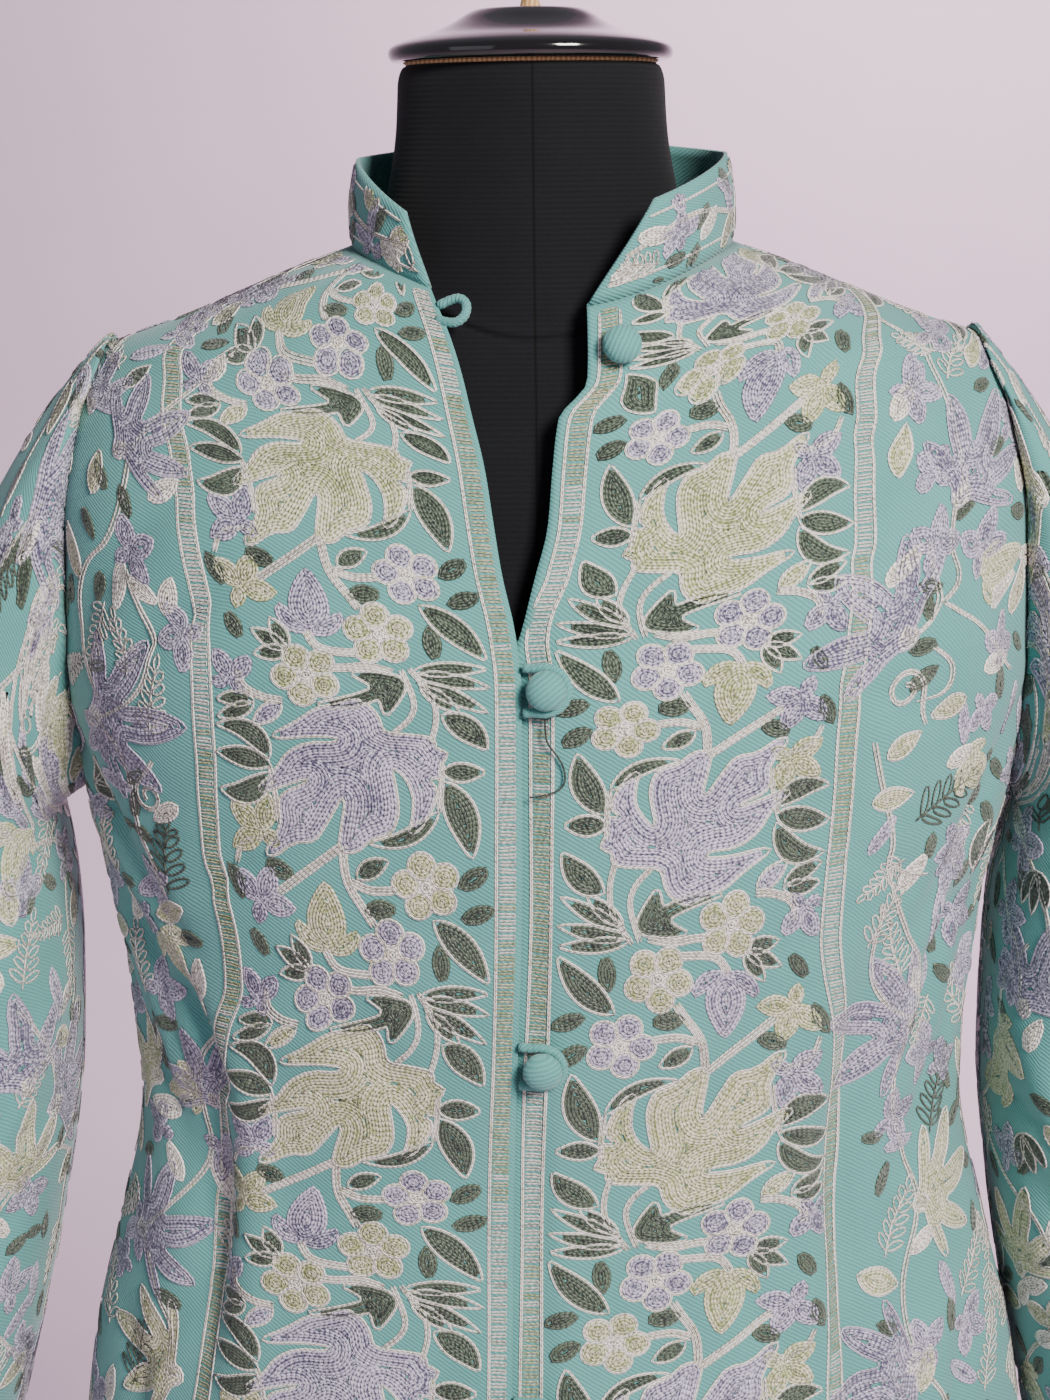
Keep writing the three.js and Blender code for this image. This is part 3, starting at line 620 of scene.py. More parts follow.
def add_mesh(name, vertices, faces, corner_uv, materials, face_material=None, shades=None, smooth=True):
    """A mesh object from arrays: vertices in metres, faces as corner numbers, a cloth map in millimetres."""
    mesh = bpy.data.meshes.new(name)
    mesh.from_pydata(vertices, [], faces.tolist() if hasattr(faces, "tolist") else faces)
    if corner_uv is not None:
        layer = mesh.uv_layers.new(name=CLOTH_UV)
        layer.data.foreach_set("uv", np.ascontiguousarray(corner_uv, np.float32).ravel())
    if shades is not None:
        layer = mesh.attributes.new("shade", "FLOAT", "POINT")
        layer.data.foreach_set("value", np.ascontiguousarray(shades, np.float32))
    for material in materials:
        mesh.materials.append(material)
    if face_material is not None:
        mesh.polygons.foreach_set("material_index", np.ascontiguousarray(face_material, np.int32))
    mesh.polygons.foreach_set("use_smooth", np.full(len(mesh.polygons), smooth))
    mesh.update()
    obj = bpy.data.objects.new(name, mesh)
    bpy.context.scene.collection.objects.link(obj)
    return obj


def add_shell(name, panel, thickness, material):
    """Closes a panel's grid and the same grid moved in by the cloth's thickness into one wall."""
    outer, wraps = panel.points, panel.wraps
    inner = outer - panel.normals * thickness
    rows, columns = outer.shape[:2]
    count = rows * columns
    last = columns if wraps else columns - 1
    r, c = [a.ravel() for a in np.meshgrid(np.arange(rows - 1), np.arange(last), indexing="ij")]
    at = lambda side, row, column: side * count + row * columns + column % columns
    spots = [(r, c), (r, c + 1), (r + 1, c + 1), (r + 1, c)]
    outside = np.stack([at(0, *s) for s in spots], 1)
    inside = np.stack([at(1, *s) for s in spots[::-1]], 1)
    u, v = panel.lengths, panel.rises
    uv = np.stack([np.stack([u[s], v[s]], -1) for s in spots], 1)
    faces, uvs = [outside, inside], [uv, uv[:, ::-1]]
    k = np.arange(last)
    top = rows - 1

    def rim(corners):
        faces.append(np.stack([at(side, row, column) for side, row, column in corners], 1))
        uvs.append(
            np.stack([np.stack([u[row, column], v[row, column]], -1) for _, row, column in corners], 1)
        )

    zero, full = np.zeros_like(k), np.full_like(k, top)
    rim([(1, zero, k), (1, zero, k + 1), (0, zero, k + 1), (0, zero, k)])
    rim([(0, full, k), (0, full, k + 1), (1, full, k + 1), (1, full, k)])
    if not wraps:
        j = np.arange(top)
        first, end = np.zeros_like(j), np.full_like(j, last)
        rim([(0, j, first), (0, j + 1, first), (1, j + 1, first), (1, j, first)])
        rim([(0, j, end), (1, j, end), (1, j + 1, end), (0, j + 1, end)])
    vertices = shift(np.concatenate([outer.reshape(-1, 3), inner.reshape(-1, 3)]))
    faces, uvs = np.concatenate(faces), np.concatenate(uvs)
    return add_mesh(name, vertices, faces, uvs.reshape(-1, 2), [material])


def add_rings(name, rings, materials, flat_map=None):
    """A body inside rings of points that run up and go round anticlockwise, with a fan across each end.

    flat_map gives the rings' map instead of the lengths round and up.
    """
    rings = np.asarray(rings, float)
    rows, columns = rings.shape[:2]
    r, c = [a.ravel() for a in np.meshgrid(np.arange(rows - 1), np.arange(columns), indexing="ij")]
    nxt = (c + 1) % columns
    here, above = r * columns, (r + 1) * columns
    faces = np.stack([here + c, here + nxt, above + nxt, above + c], 1).tolist()
    loop = np.concatenate([rings, rings[:, :1]], 1)
    u, v = lengths_along(loop, 1), lengths_along(loop)
    spots = [(r, c), (r, c + 1), (r + 1, c + 1), (r + 1, c)]
    if flat_map is not None:
        flat = np.concatenate([flat_map, flat_map[:, :1]], 1)
        u, v = flat[..., 0], flat[..., 1]
    uv = np.stack([np.stack([u[s], v[s]], -1) for s in spots], 1).reshape(-1, 2).tolist()
    ends = np.stack([rings[0].mean(0), rings[-1].mean(0)])
    bottom = rows * columns
    vertices = np.concatenate([rings.reshape(-1, 3), ends])
    top = (rows - 1) * columns
    for k in range(columns):
        n = (k + 1) % columns
        faces += [[bottom, n, k], [bottom + 1, top + k, top + n]]
        uv += [[u[0, 0], v[0, 0]], [u[0, k + 1], v[0, k + 1]], [u[0, k], v[0, k]]]
        uv += [[u[-1, 0], v[-1, 0]], [u[-1, k], v[-1, k]], [u[-1, k + 1], v[-1, k + 1]]]
    return add_mesh(name, vertices * MM, faces, np.array(uv), materials)


def add_turned(name, profile, columns, materials):
    """A body turned about the pole's axis, from its radii and heights."""
    turn = 2 * np.pi * np.arange(columns) / columns
    rings = [np.stack([r * np.cos(turn), r * np.sin(turn), np.full(columns, z)], -1) for r, z in profile]
    return add_rings(name, rings, materials)


# Chain stitch


def resampled(line, step):
    line = np.asarray(line, float)
    lengths = lengths_along(line)
    count = max(3, int(round(lengths[-1] / step)) + 1)
    at = np.linspace(0, lengths[-1], count)
    return np.stack([np.interp(at, lengths, line[:, i]) for i in range(2)], 1)


def smooth_line(points, passes=2, closed=False):
    """A line in the plane or in space with its corners cut."""
    line = np.array(points, float)
    for _ in range(passes):
        after = np.roll(line, -1, 0) if closed else line[1:]
        here = line if closed else line[:-1]
        pairs = np.stack([here * 0.75 + after * 0.25, here * 0.25 + after * 0.75], 1)
        pairs = pairs.reshape(-1, line.shape[1])
        line = pairs if closed else np.concatenate([line[:1], pairs[1:-1], line[-1:]])
    return line


def left_of(line):
    """Which way is left at each point of a line."""
    way = unit(np.gradient(line, axis=0))
    return np.stack([-way[:, 1], way[:, 0]], 1)


# Which sides of a grid cell a contour joins, by which of its corners are above the level
CELL_JOINS = {
    1: [(3, 0)], 2: [(0, 1)], 3: [(3, 1)], 4: [(1, 2)], 5: [(3, 2), (0, 1)], 6: [(0, 2)],
    7: [(3, 2)], 8: [(2, 3)], 9: [(2, 0)], 10: [(3, 0), (1, 2)], 11: [(2, 1)], 12: [(1, 3)],
    13: [(1, 0)], 14: [(0, 3)],
}  # fmt: skip


def contour_loops(field, level, origin, step):
    above = field > level
    code = above[:-1, :-1] * 1 + above[:-1, 1:] * 2 + above[1:, 1:] * 4 + above[1:, :-1] * 8
    joined = {}
    for i, j in np.argwhere((code > 0) & (code < 15)):
        sides = [(0, i, j), (1, i, j + 1), (0, i + 1, j), (1, i, j)]
        for a, b in CELL_JOINS[int(code[i, j])]:
            joined.setdefault(sides[a], []).append(sides[b])
            joined.setdefault(sides[b], []).append(sides[a])

    def crossing(side):
        kind, i, j = side
        k, l = (i, j + 1) if kind == 0 else (i + 1, j)
        a, b = field[i, j], field[k, l]
        t = (level - a) / (b - a)
        return origin[0] + (j + (l - j) * t) * step, origin[1] + (i + (k - i) * t) * step

    loops, seen = [], set()
    for start in joined:
        if start in seen:
            continue
        path, here, before = [], start, None
        while here not in seen:
            seen.add(here)
            path.append(crossing(here))
            nxt = [s for s in joined[here] if s != before and s not in seen]
            before, here = here, nxt[0] if nxt else start
        path.append(path[0])
        loops.append(np.array(path))
    return loops


def depth_field(outline, step):
    """How far inside a closed outline each point of a small grid is, below 0 outside."""
    low = outline.min(0) - 2 * step
    size = ((outline.max(0) + 2 * step - low) / step).astype(int) + 1
    gx, gy = np.meshgrid(low[0] + step * np.arange(size[0]), low[1] + step * np.arange(size[1]))
    points = np.stack([gx.ravel(), gy.ravel()], 1)
    a, b = outline, np.roll(outline, -1, 0)
    ab = b - a
    best = np.full(len(points), 1e9)
    inside = np.zeros(len(points), bool)
    for p, d, q in zip(a, ab, b):
        t = np.clip(((points - p) @ d) / max(d @ d, 1e-9), 0, 1)
        best = np.minimum(best, np.linalg.norm(points - p - t[:, None] * d, axis=1))
        cross = (p[1] > points[:, 1]) != (q[1] > points[:, 1])
        if d[1]:
            inside ^= cross & (points[:, 0] < p[0] + (points[:, 1] - p[1]) / d[1] * d[0])
    return np.where(inside, best, -best).reshape(gx.shape), low


ECHOES = {}


def echo_rows(outline, first, spacing):
    """Closed rows inside an outline, each the same distance in from the last, with how far in each one is."""
    key = (outline.round(2).tobytes(), first, spacing)
    if key not in ECHOES:
        step = 0.55
        field, low = depth_field(outline, step)
        found, depth = [], first
        while depth < field.max():
            for loop in contour_loops(field, depth, low, step):
                if len(loop) > 5:
                    found.append((depth, loop))
            depth += spacing
        ECHOES[key] = found
    return ECHOES[key]


def turned_line(line, deg, x, y, scale=1.0, flip=False):
    line = np.asarray(line, float) * scale
    if flip:
        line = line * [1, -1]
    c, s = math.cos(math.radians(deg)), math.sin(math.radians(deg))
    return np.stack([x + line[:, 0] * c - line[:, 1] * s, y + line[:, 0] * s + line[:, 1] * c], 1)


def row(line, colour, shade=0.5, width=ROW_WIDTH, lift=0.0):
    return {"line": np.asarray(line, float), "colour": colour, "shade": shade, "width": width, "lift": lift}


def moved(rows, deg, x, y, scale=1.0, flip=False):
    return [dict(r, line=turned_line(r["line"], deg, x, y, scale, flip)) for r in rows]


def worked(outline, colour, edge=CREAM, shade=0.5, spacing=1.3):
    """A shape filled with rows of chain stitch that follow its outline inwards, inside an edge row."""
    rows = []
    first = 0.55 if edge is None else 1.45
    for depth, loop in echo_rows(outline, first, spacing):
        tone = shade + 0.16 * math.sin(depth * 1.9) - 0.012 * depth
        rows.append(row(loop, colour, tone, FILL_WIDTH, 0.08))
    if edge is not None:
        loop = np.concatenate([outline, outline[:1]])
        rows.append(row(loop, edge, 0.74, 1.3, 0.25))
    return rows


def leaf_shape(length, width, bend=0.0, fat=0.85):
    """A pointed leaf from its foot at 0,0 to its tip on the x axis. bend bows it to its left."""
    t = np.linspace(0, 1, 15)
    middle = np.stack([length * t, bend * np.sin(np.pi * t)], 1)
    half = width / 2 * np.sin(np.pi * t**fat) ** 0.85
    out = left_of(middle) * half[:, None]
    return np.concatenate([middle + out, (middle - out)[::-1][1:-1]])


def leaf_between(x0, y0, x1, y1, width, bend, colour=MOSS, edge=CREAM, shade=0.42):
    length = math.hypot(x1 - x0, y1 - y0)
    rows = worked(leaf_shape(length, width * 1.15, bend), colour, edge, shade)
    return moved(rows, math.degrees(math.atan2(y1 - y0, x1 - x0)), x0, y0)


def spot_leaf(x, y, deg, length, width, colour=MOSS, shade=0.4):
    rows = worked(leaf_shape(length * 1.08, width * 1.15, 0.0, 1.0), colour, None, shade)
    c, s = math.cos(math.radians(deg)), math.sin(math.radians(deg))
    return moved(rows, deg, x - c * length / 2, y - s * length / 2)


# A chinar leaf about its middle, from its top tip round to the left, in millimetres
CHINAR_LEAF = [
    [3.5, 32], [-4, 28.5], [-12, 26], [-20, 19], [-31, 12], [-27, 10.5], [-14, 13], [-3, 13],
    [-4, 10.5], [-16, 10], [-25, 4], [-29, -4], [-38, -12], [-34, -13.5], [-25, -9.5], [-15, -6],
    [-17, -8.5], [-26, -12], [-28.5, -17], [-27, -25], [-36, -37], [-31, -38], [-22, -31],
    [-14, -31], [-9, -24], [-2, -12], [-1, -15], [-3, -24], [-4.5, -34], [3, -34], [9, -28],
    [17, -26], [20, -18], [19, -9], [17, 0], [20.5, -2], [25, -9], [25.5, -17], [23, -27],
    [28, -24], [33, -16], [35, -8], [30, -4], [37, -5], [35.5, 2], [40, 7.5], [33, 9.5],
    [35, 14], [26, 15.5], [14, 16], [13.5, 22], [10, 28],
]  # fmt: skip

# A star flower of the side panels, with its foot at 0,0: lobe tips and notches, as degrees and millimetres
STAR_FLOWER = [
    [0, 3], [6, 12], [11, 24], [17, 32], [24, 25], [30, 13], [36, 24], [43, 33], [49, 39], [57, 29],
    [64, 14], [72, 28], [82, 40], [88, 45], [97, 32], [106, 15], [114, 27], [124, 37], [130, 40],
    [138, 28], [144, 12], [152, 23], [163, 32], [170, 22], [178, 6], [225, 5], [270, 6], [315, 5],
]  # fmt: skip


def chinar_leaf(colour, shade):
    return worked(smooth_line(CHINAR_LEAF, 1, closed=True), colour, CREAM, shade)


def star_flower(colour, shade, edge):
    """A flower of seven pointed lobes, with a pale calyx at its foot."""
    deg, radius = np.array(STAR_FLOWER, float).T
    outline = np.stack([radius * np.cos(np.radians(deg)), radius * np.sin(np.radians(deg))], 1)
    rows = worked(smooth_line(outline, 1, closed=True), colour, edge, shade, 1.35)
    return rows + moved(worked(leaf_shape(11, 8, 0), CREAM, None, 0.6), 90, 0, -6)


def five_petals(radius, colour, shade):
    """A round flower of five petals, each worked in rings inside a pale edge."""
    turn = np.linspace(0, 2 * np.pi, 15)[:-1]
    petal = radius * 0.4
    disc = np.stack([petal * np.cos(turn), petal * np.sin(turn)], 1)
    rows = []
    for k in range(5):
        deg = 90 + 72 * k
        x, y = [radius * 0.6 * f(math.radians(deg)) for f in (math.cos, math.sin)]
        rows += moved(worked(disc, colour, CREAM, shade + 0.05 * (k % 3 - 1), 1.25), deg, x, y)
    return rows + worked(disc * 0.6, CREAM, None, 0.6, 1.2)


def three_petals(size, colour, shade):
    """A bud of three petals with a short foot."""
    rows = []
    for deg, long in ((90, 1.0), (158, 0.9), (22, 0.9)):
        rows += moved(worked(leaf_shape(size * long, size * 0.52, 0, 0.9), colour, None, shade), deg, 0, 0)
    rows += moved(worked(leaf_shape(size * 0.6, size * 0.36, 0), colour, None, shade - 0.1), 275, 0, 0)
    return rows


def tulip(length, colour, shade):
    """A long bud between two narrow petals."""
    rows = moved(worked(leaf_shape(length, length * 0.56, 0, 0.75), colour, None, shade), 90, 0, 0)
    for deg, flip in ((38, False), (142, True)):
        petal = worked(leaf_shape(length * 0.62, length * 0.24, -length * 0.07, 0.9), colour, None, shade)
        rows += moved(petal, deg, 0, 0, 1.0, flip)
    return rows


def arrow_leaf():
    """A dark arrow-shaped leaf with a long curved tail."""
    shape = [[0, 0], [-10, 2.2], [-22, 1], [-14, -3.5], [-12, -5.5], [-18, -8.5], [-27, -11.5], [-36, -14.5],
             [-26, -16], [-16, -14], [-9, -10], [-9, -14], [-7, -19], [-2.5, -13], [1.5, -5]]  # fmt: skip
    return worked(smooth_line(shape, 1, closed=True), MOSS, CREAM, 0.42)


def stem(points, count=2, colour=CREAM, shade=0.62):
    """Rows of chain stitch side by side along a curve."""
    line = smooth_line(points, 3)
    out = left_of(line)
    offsets = (np.arange(count) - (count - 1) / 2) * 1.25
    return [row(line + out * o, colour, shade + 0.06 * math.sin(3.1 * o), 1.3, 0.12) for o in offsets]


def loop_sprig(length, colour, pairs=5, shade=0.55, reach=11.0):
    """A feathery sprig: a stalk with open loops on both sides, like a row of narrow petals."""
    rows = stem([[0, 0], [length * 0.5, 1.5], [length, 0]], 1, colour, shade)
    turn = np.linspace(0, 2 * np.pi, 13)
    for k in range(pairs):
        t = (k + 0.6) / pairs
        size = reach * (1 - 0.45 * t)
        for way in (1, -1):
            lobe = np.stack([size / 2 * (1 - np.cos(turn)), 1.7 * np.sin(turn)], 1)
            lobe = turned_line(lobe, way * (62 - 22 * t), length * t * 0.92, 0)
            rows.append(row(lobe, colour, shade, 1.15, 0.1))
    tip = np.stack([reach * 0.3 * (1 - np.cos(turn)), 1.6 * np.sin(turn)], 1)
    rows.append(row(turned_line(tip, 0, length, 0), colour, shade, 1.15, 0.1))
    return rows


def tendril(size):
    """A stem that curls up inwards."""
    t = np.linspace(0, 1, 40)
    angle = 2 * np.pi * 1.35 * t
    radius = size * (1 - 0.72 * t)
    curl = np.stack([size + radius * np.cos(np.pi + angle), radius * np.sin(np.pi + angle)], 1)
    return stem(np.concatenate([[[-size * 0.6, size * 1.1], [-size * 0.2, size * 0.5]], curl[::3]]), 2)


def bud_leaf(length, width, colour, shade=0.6, edge=None):
    return worked(leaf_shape(length, width, 0, 0.8), colour, edge, shade)


# One repeat of the front's pattern, from the side band across to the front band. Heights count from the
# middle of its big leaf. Leaves with an edge row run between two points, and have a width and a bend.
OUTLINED_LEAVES = [
    [22.9, 5.2, 0.6, 18.6, 8.4, -6],
    [23.4, 2.0, -0.4, 6.2, 8.4, -0.8],
    [22.9, -1.2, 0.8, -9.2, 8.4, 4.4],
    [91, 29, 108, 12.5, 9.5, 2],
    [90.5, 2.5, 107.5, 2.5, 7.5, 0],
    [91.6, -1.6, 102, -31, 10.5, 2],
    [89.6, -13, 61.8, -25.9, 5.5, 4],
    [57, -39.5, 70, -32, 6.5, 0.5],
    [86.2, -55, 109, -79.3, 9.5, 1.5],
    [32.6, -77, 25.5, -64, 6, 0],
    [32.2, -77.4, 17.5, -69.5, 6, 0],
    [32.6, -78.2, 18, -80.5, 6, 0],
    [80.5, -84.5, 109, -83, 5.4, 0.6],
    [81, -86, 109.5, -91.5, 5.6, 0.5],
    [82, -89, 108.5, -103, 5.6, 0.5],
    [83, -91, 98, -103.4, 5.4, 0.3],
    [17.7, -101.5, 1.2, -102.6, 6, -0.8],
    [17.7, -102.5, 1.2, -110.7, 6, 0.6],
]
# Leaves with no edge row: middle, turn, length and width
PLAIN_LEAVES = [
    [24.6, -38.1, -20, 13, 6],
    [4.8, -45.8, 112, 15, 5.5],
    [64.8, -51.3, 5, 13, 6.5],
    [102, -38.6, 35, 13.5, 6],
    [103.5, -52.4, 20, 14, 5.5],
    [89.1, -72.2, 95, 15, 5.5],
    [10.3, -69.1, 120, 13, 5],
]
# Stems: how many rows side by side, and the points they pass
STEMS = [
    [3, [51.4, -27.5], [38, -37.5], [22.7, -47.8]],
    [3, [51.8, -27], [52.5, -42], [59, -52], [62.3, -58]],
    [3, [54.5, -41], [62, -44.5], [72, -43.4]],
    [3, [40, -68.5], [44, -77], [60.4, -77.4]],
    [3, [46, -84], [54, -84.5], [63, -82.5], [73, -85.5]],
    [3, [29.5, -100.6], [21, -100], [11.5, -95], [12, -88]],
    [2, [76.2, -84], [81.5, -99], [79, -107], [72.3, -113.2]],
    [2, [79.2, -83.3], [88, -95], [89.4, -107], [86.3, -118.3]],
    [2, [5.8, -38], [8.5, -31], [14, -27.5], [22.5, -26]],
    [2, [22.7, 2], [25, -8], [26, -20]],
    [2, [89.6, -13], [90.6, -4], [90.6, 8]],
]


def pattern_repeat(violet_leaf):
    """One repeat. Every second one swaps violet and pistachio."""
    main, other = (VIOLET, PISTACHIO) if violet_leaf else (PISTACHIO, VIOLET)
    tone = {VIOLET: 0.53, PISTACHIO: 0.5}
    rows = []
    for count, *points in STEMS:
        rows += stem(points, count)
    for x0, y0, x1, y1, width, bend in OUTLINED_LEAVES:
        rows += leaf_between(x0, y0, x1, y1, width, bend)
    for x, y, deg, length, width in PLAIN_LEAVES:
        rows += spot_leaf(x, y, deg, length, width)
    rows += moved(chinar_leaf(main, tone[main]), 0, 54.4, 4)
    rows += moved(five_petals(14, main, tone[main] - 0.14), 4, 68.8, -68.6)
    rows += moved(five_petals(14, main, tone[main] - 0.14), 26, 39, -88.4)
    rows += moved(five_petals(13.5, other, tone[other] - 0.1), 12, 84.2, -41.7)
    rows += moved(three_petals(17, main, tone[main] - 0.12), -28, 14.7, -52)
    rows += moved(three_petals(15, VIOLET, 0.34), 30, 8.5, -92.5)
    rows += moved(tulip(28, other, tone[other] - 0.14), -6, 41, -69)
    rows += moved(three_petals(17, other, tone[other] - 0.2), 52, 18.5, -24)
    rows += leaf_between(29, -101.5, 16.7, -112.7, 6.5, 0, other, CREAM, 0.55)
    rows += moved(arrow_leaf(), 0, 76.8, -87)
    return rows


# Raised rows on the cloth


class Stitching:
    """Gathers rows of chain stitch for a piece and lays them on its cloth as raised strips."""

    def __init__(self, step):
        self.step = step
        self.rows = []

    def add(self, rows, place):
        """place turns pattern points into points and normals on the cloth, and says which are on it."""
        if not rows:
            return
        lines, spans, start = [], [], 0
        for r in rows:
            line = resampled(r["line"], self.step * min(1, 0.55 + len(r["line"]) / 90))
            lines.append(line)
            spans.append((start, start + len(line)))
            start += len(line)
        point, normal, on = place(np.concatenate(lines))
        for r, (a, b) in zip(rows, spans):
            if on[a:b].all():
                runs = [(a, b)]
            else:
                ok = np.flatnonzero(on[a:b]) + a
                parts = np.split(ok, np.flatnonzero(np.diff(ok) > 1) + 1)
                runs = [(part[0], part[-1] + 1) for part in parts if len(part) > 2]
            for i, j in runs:
                self.rows.append((point[i:j], normal[i:j], r))

    def build(self, name, materials):
        vertices, uvs, faces, shades, kinds = [], [], [], [], []
        base = 0
        for index, (point, normal, r) in enumerate(self.rows):
            n = len(point)
            way = unit(np.gradient(point, axis=0))
            closed = np.linalg.norm(point[0] - point[-1]) < 0.02
            if closed:
                way[0] = way[-1] = (way[0] + way[-1]) / 2
            out = np.cross(normal, way)
            half = np.full(n, r["width"] / 2)
            if not closed:
                half[0] *= 0.55
                half[-1] *= 0.55
            side = out * half[:, None]
            low = point + normal * ROW_FOOT
            high = point + normal * (ROW_RISE + r["lift"])
            strip = np.stack([low - side, high, low + side], 1)
            vertices.append(strip.reshape(-1, 3))
            # rows begin at different places of the chain
            along = lengths_along(point) + 7.3 * (index % 11)
            uv = np.stack([np.repeat(along[:, None], 3, 1), np.tile([0, 0.5, 1.0], (n, 1))], -1)
            i = base + 3 * np.arange(n - 1)
            quad = np.concatenate(
                [np.stack([i + k, i + k + 1, i + k + 4, i + k + 3], 1) for k in (0, 1)]
            )
            faces.append(quad[:, ::-1])
            local = quad[:, ::-1] - base
            uvs.append(uv.reshape(-1, 2)[local].reshape(-1, 2))
            drift = 0.14 * math.sin(index * 2.4) + 0.1 * np.sin(along / 19 + index)
            shades.append(np.repeat(np.clip(r["shade"] + drift, 0, 1), 3))
            kinds.append(np.full(len(quad), r["colour"]))
            base += 3 * n
        return add_mesh(
            name,
            shift(np.concatenate(vertices)),
            np.concatenate(faces),
            np.concatenate(uvs),
            materials,
            np.concatenate(kinds),
            np.concatenate(shades),
        )


# Materials


def linear(code):
    """An sRGB hex colour as linear values."""
    parts = [int(code[i : i + 2], 16) / 255 for i in (0, 2, 4)]
    return tuple(c / 12.92 if c <= 0.04045 else ((c + 0.055) / 1.055) ** 2.4 for c in parts) + (1.0,)


def add_node(tree, kind, inputs=(), **settings):
    """Adds a node, sets its properties, and fills its inputs with values or with other nodes' outputs."""
    made = tree.nodes.new(kind)
    for name, value in settings.items():
        setattr(made, name, value)
    for key, value in dict(inputs).items():
        if isinstance(value, bpy.types.NodeSocket):
            tree.links.new(value, made.inputs[key])
        else:
            made.inputs[key].default_value = value
    return made


def calc(tree, operation, *values):
    return add_node(tree, "ShaderNodeMath", enumerate(values), operation=operation).outputs[0]


def blend(tree, share, low, high):
    made = add_node(tree, "ShaderNodeMix", {0: share, 6: low, 7: high}, data_type="RGBA")
    return made.outputs[2]


def new_material(name):
    material = bpy.data.materials.new(name)
    material.use_nodes = True
    tree = material.node_tree
    return material, tree, tree.nodes["Principled BSDF"]


def finish_shader(tree, shader, colour, height, strength, distance):
    """Gives a shader its colour and its relief, whose distance is in metres."""
    tree.links.new(colour, shader.inputs["Base Color"])
    bump = add_node(tree, "ShaderNodeBump", {"Strength": strength, "Distance": distance, "Height": height})
    tree.links.new(bump.outputs[0], shader.inputs["Normal"])


def cloth_map(tree):
    uv = add_node(tree, "ShaderNodeUVMap", uv_map=CLOTH_UV)
    parts = add_node(tree, "ShaderNodeSeparateXYZ", {0: uv.outputs[0]})
    return uv.outputs[0], parts.outputs[0], parts.outputs[1]


def noise(tree, vector, scale, detail=2.0):
    made = add_node(tree, "ShaderNodeTexNoise", {"Vector": vector, "Scale": scale, "Detail": detail})
    return made.outputs[0]


def twill_weave(name, dark, light):
    """Wool-look twill, piece-dyed and pressed: steep ribs, a soft sheen, and small changes of tone."""
    material, tree, shader = new_material(name)
    uv, u, v = cloth_map(tree)
    wander = noise(tree, uv, 0.35)
    across = calc(tree, "MULTIPLY_ADD", v, TWILL_SLOPE, u)
    spacing = TWILL_PITCH * math.hypot(1, TWILL_SLOPE)
    ribs = calc(tree, "MULTIPLY_ADD", wander, 0.5, calc(tree, "DIVIDE", across, spacing))
    wave = calc(tree, "SINE", calc(tree, "MULTIPLY", ribs, 2 * math.pi))
    # the ribs catch the light along one diagonal
    height = calc(tree, "MULTIPLY_ADD", wave, 0.5, 0.5)
    threads = noise(tree, uv, 2.6, 3.0)
    patches = noise(tree, uv, 0.02, 3.0)
    tone = calc(tree, "MULTIPLY_ADD", height, 0.32, calc(tree, "MULTIPLY_ADD", threads, 0.9, -0.2))
    tone = calc(tree, "MULTIPLY_ADD", patches, 0.35, tone)
    colour = blend(tree, tone, linear(dark), linear(light))
    finish_shader(tree, shader, colour, calc(tree, "MULTIPLY_ADD", threads, 0.5, height), 0.5, 0.0004)
    shader.inputs["Roughness"].default_value = 0.78
    shader.inputs["Sheen Weight"].default_value = 0.25
    shader.inputs["Sheen Roughness"].default_value = 0.5
    shader.inputs["Specular IOR Level"].default_value = 0.3
    return material


def chain_thread(name, dark, light, fleck, fleck_share):
    """Spun viscose thread, worked in chain stitch with a hook: raised strands and a notch at each link, with
    painted highlight on the strands and painted shade in the notches.
    """
    material, tree, shader = new_material(name)
    _, u, v = cloth_map(tree)
    side = calc(tree, "ABSOLUTE", calc(tree, "MULTIPLY_ADD", v, 2.0, -1.0))
    # each link's notch is a V, later at the middle than at the sides
    phase = calc(tree, "DIVIDE", calc(tree, "MULTIPLY_ADD", side, -0.9, u), STITCH_LENGTH)
    link = calc(tree, "SINE", calc(tree, "MULTIPLY", calc(tree, "FRACT", phase), math.pi))
    link = calc(tree, "POWER", calc(tree, "MAXIMUM", link, 0.001), 0.55)
    strand = calc(tree, "ABSOLUTE", calc(tree, "SINE", calc(tree, "MULTIPLY", v, 2 * math.pi)))
    height = calc(tree, "MULTIPLY_ADD", strand, 0.45, calc(tree, "MULTIPLY", link, 0.55))
    place = add_node(tree, "ShaderNodeTexCoord").outputs["Object"]
    # flecks of the thread's two shades, about a stitch long
    speck = noise(tree, place, 620.0, 2.0)
    drift = noise(tree, place, 45.0, 2.0)
    shade = add_node(tree, "ShaderNodeAttribute", attribute_name="shade").outputs["Fac"]
    tone = calc(tree, "MULTIPLY_ADD", calc(tree, "SUBTRACT", speck, 0.5), 2.4, shade)
    tone = calc(tree, "MULTIPLY_ADD", calc(tree, "SUBTRACT", drift, 0.5), 0.9, tone)
    # painted shade and painted highlight: darker in each link's notch and between the two strands, lighter on
    # the raised strands
    tone = calc(tree, "MULTIPLY_ADD", calc(tree, "SUBTRACT", height, 0.62), 1.5, tone)
    tone = add_node(tree, "ShaderNodeClamp", {0: tone}).outputs[0]
    colour = blend(tree, tone, linear(dark), linear(light))
    spots = calc(tree, "GREATER_THAN", noise(tree, place, 410.0, 1.0), 1 - fleck_share)
    colour = blend(tree, calc(tree, "MULTIPLY", spots, 0.55), colour, linear(fleck))
    finish_shader(tree, shader, colour, height, 1.0, 0.0009)
    shader.inputs["Roughness"].default_value = 0.42
    shader.inputs["Specular IOR Level"].default_value = 0.6
    shader.inputs["Sheen Weight"].default_value = 0.2
    return material


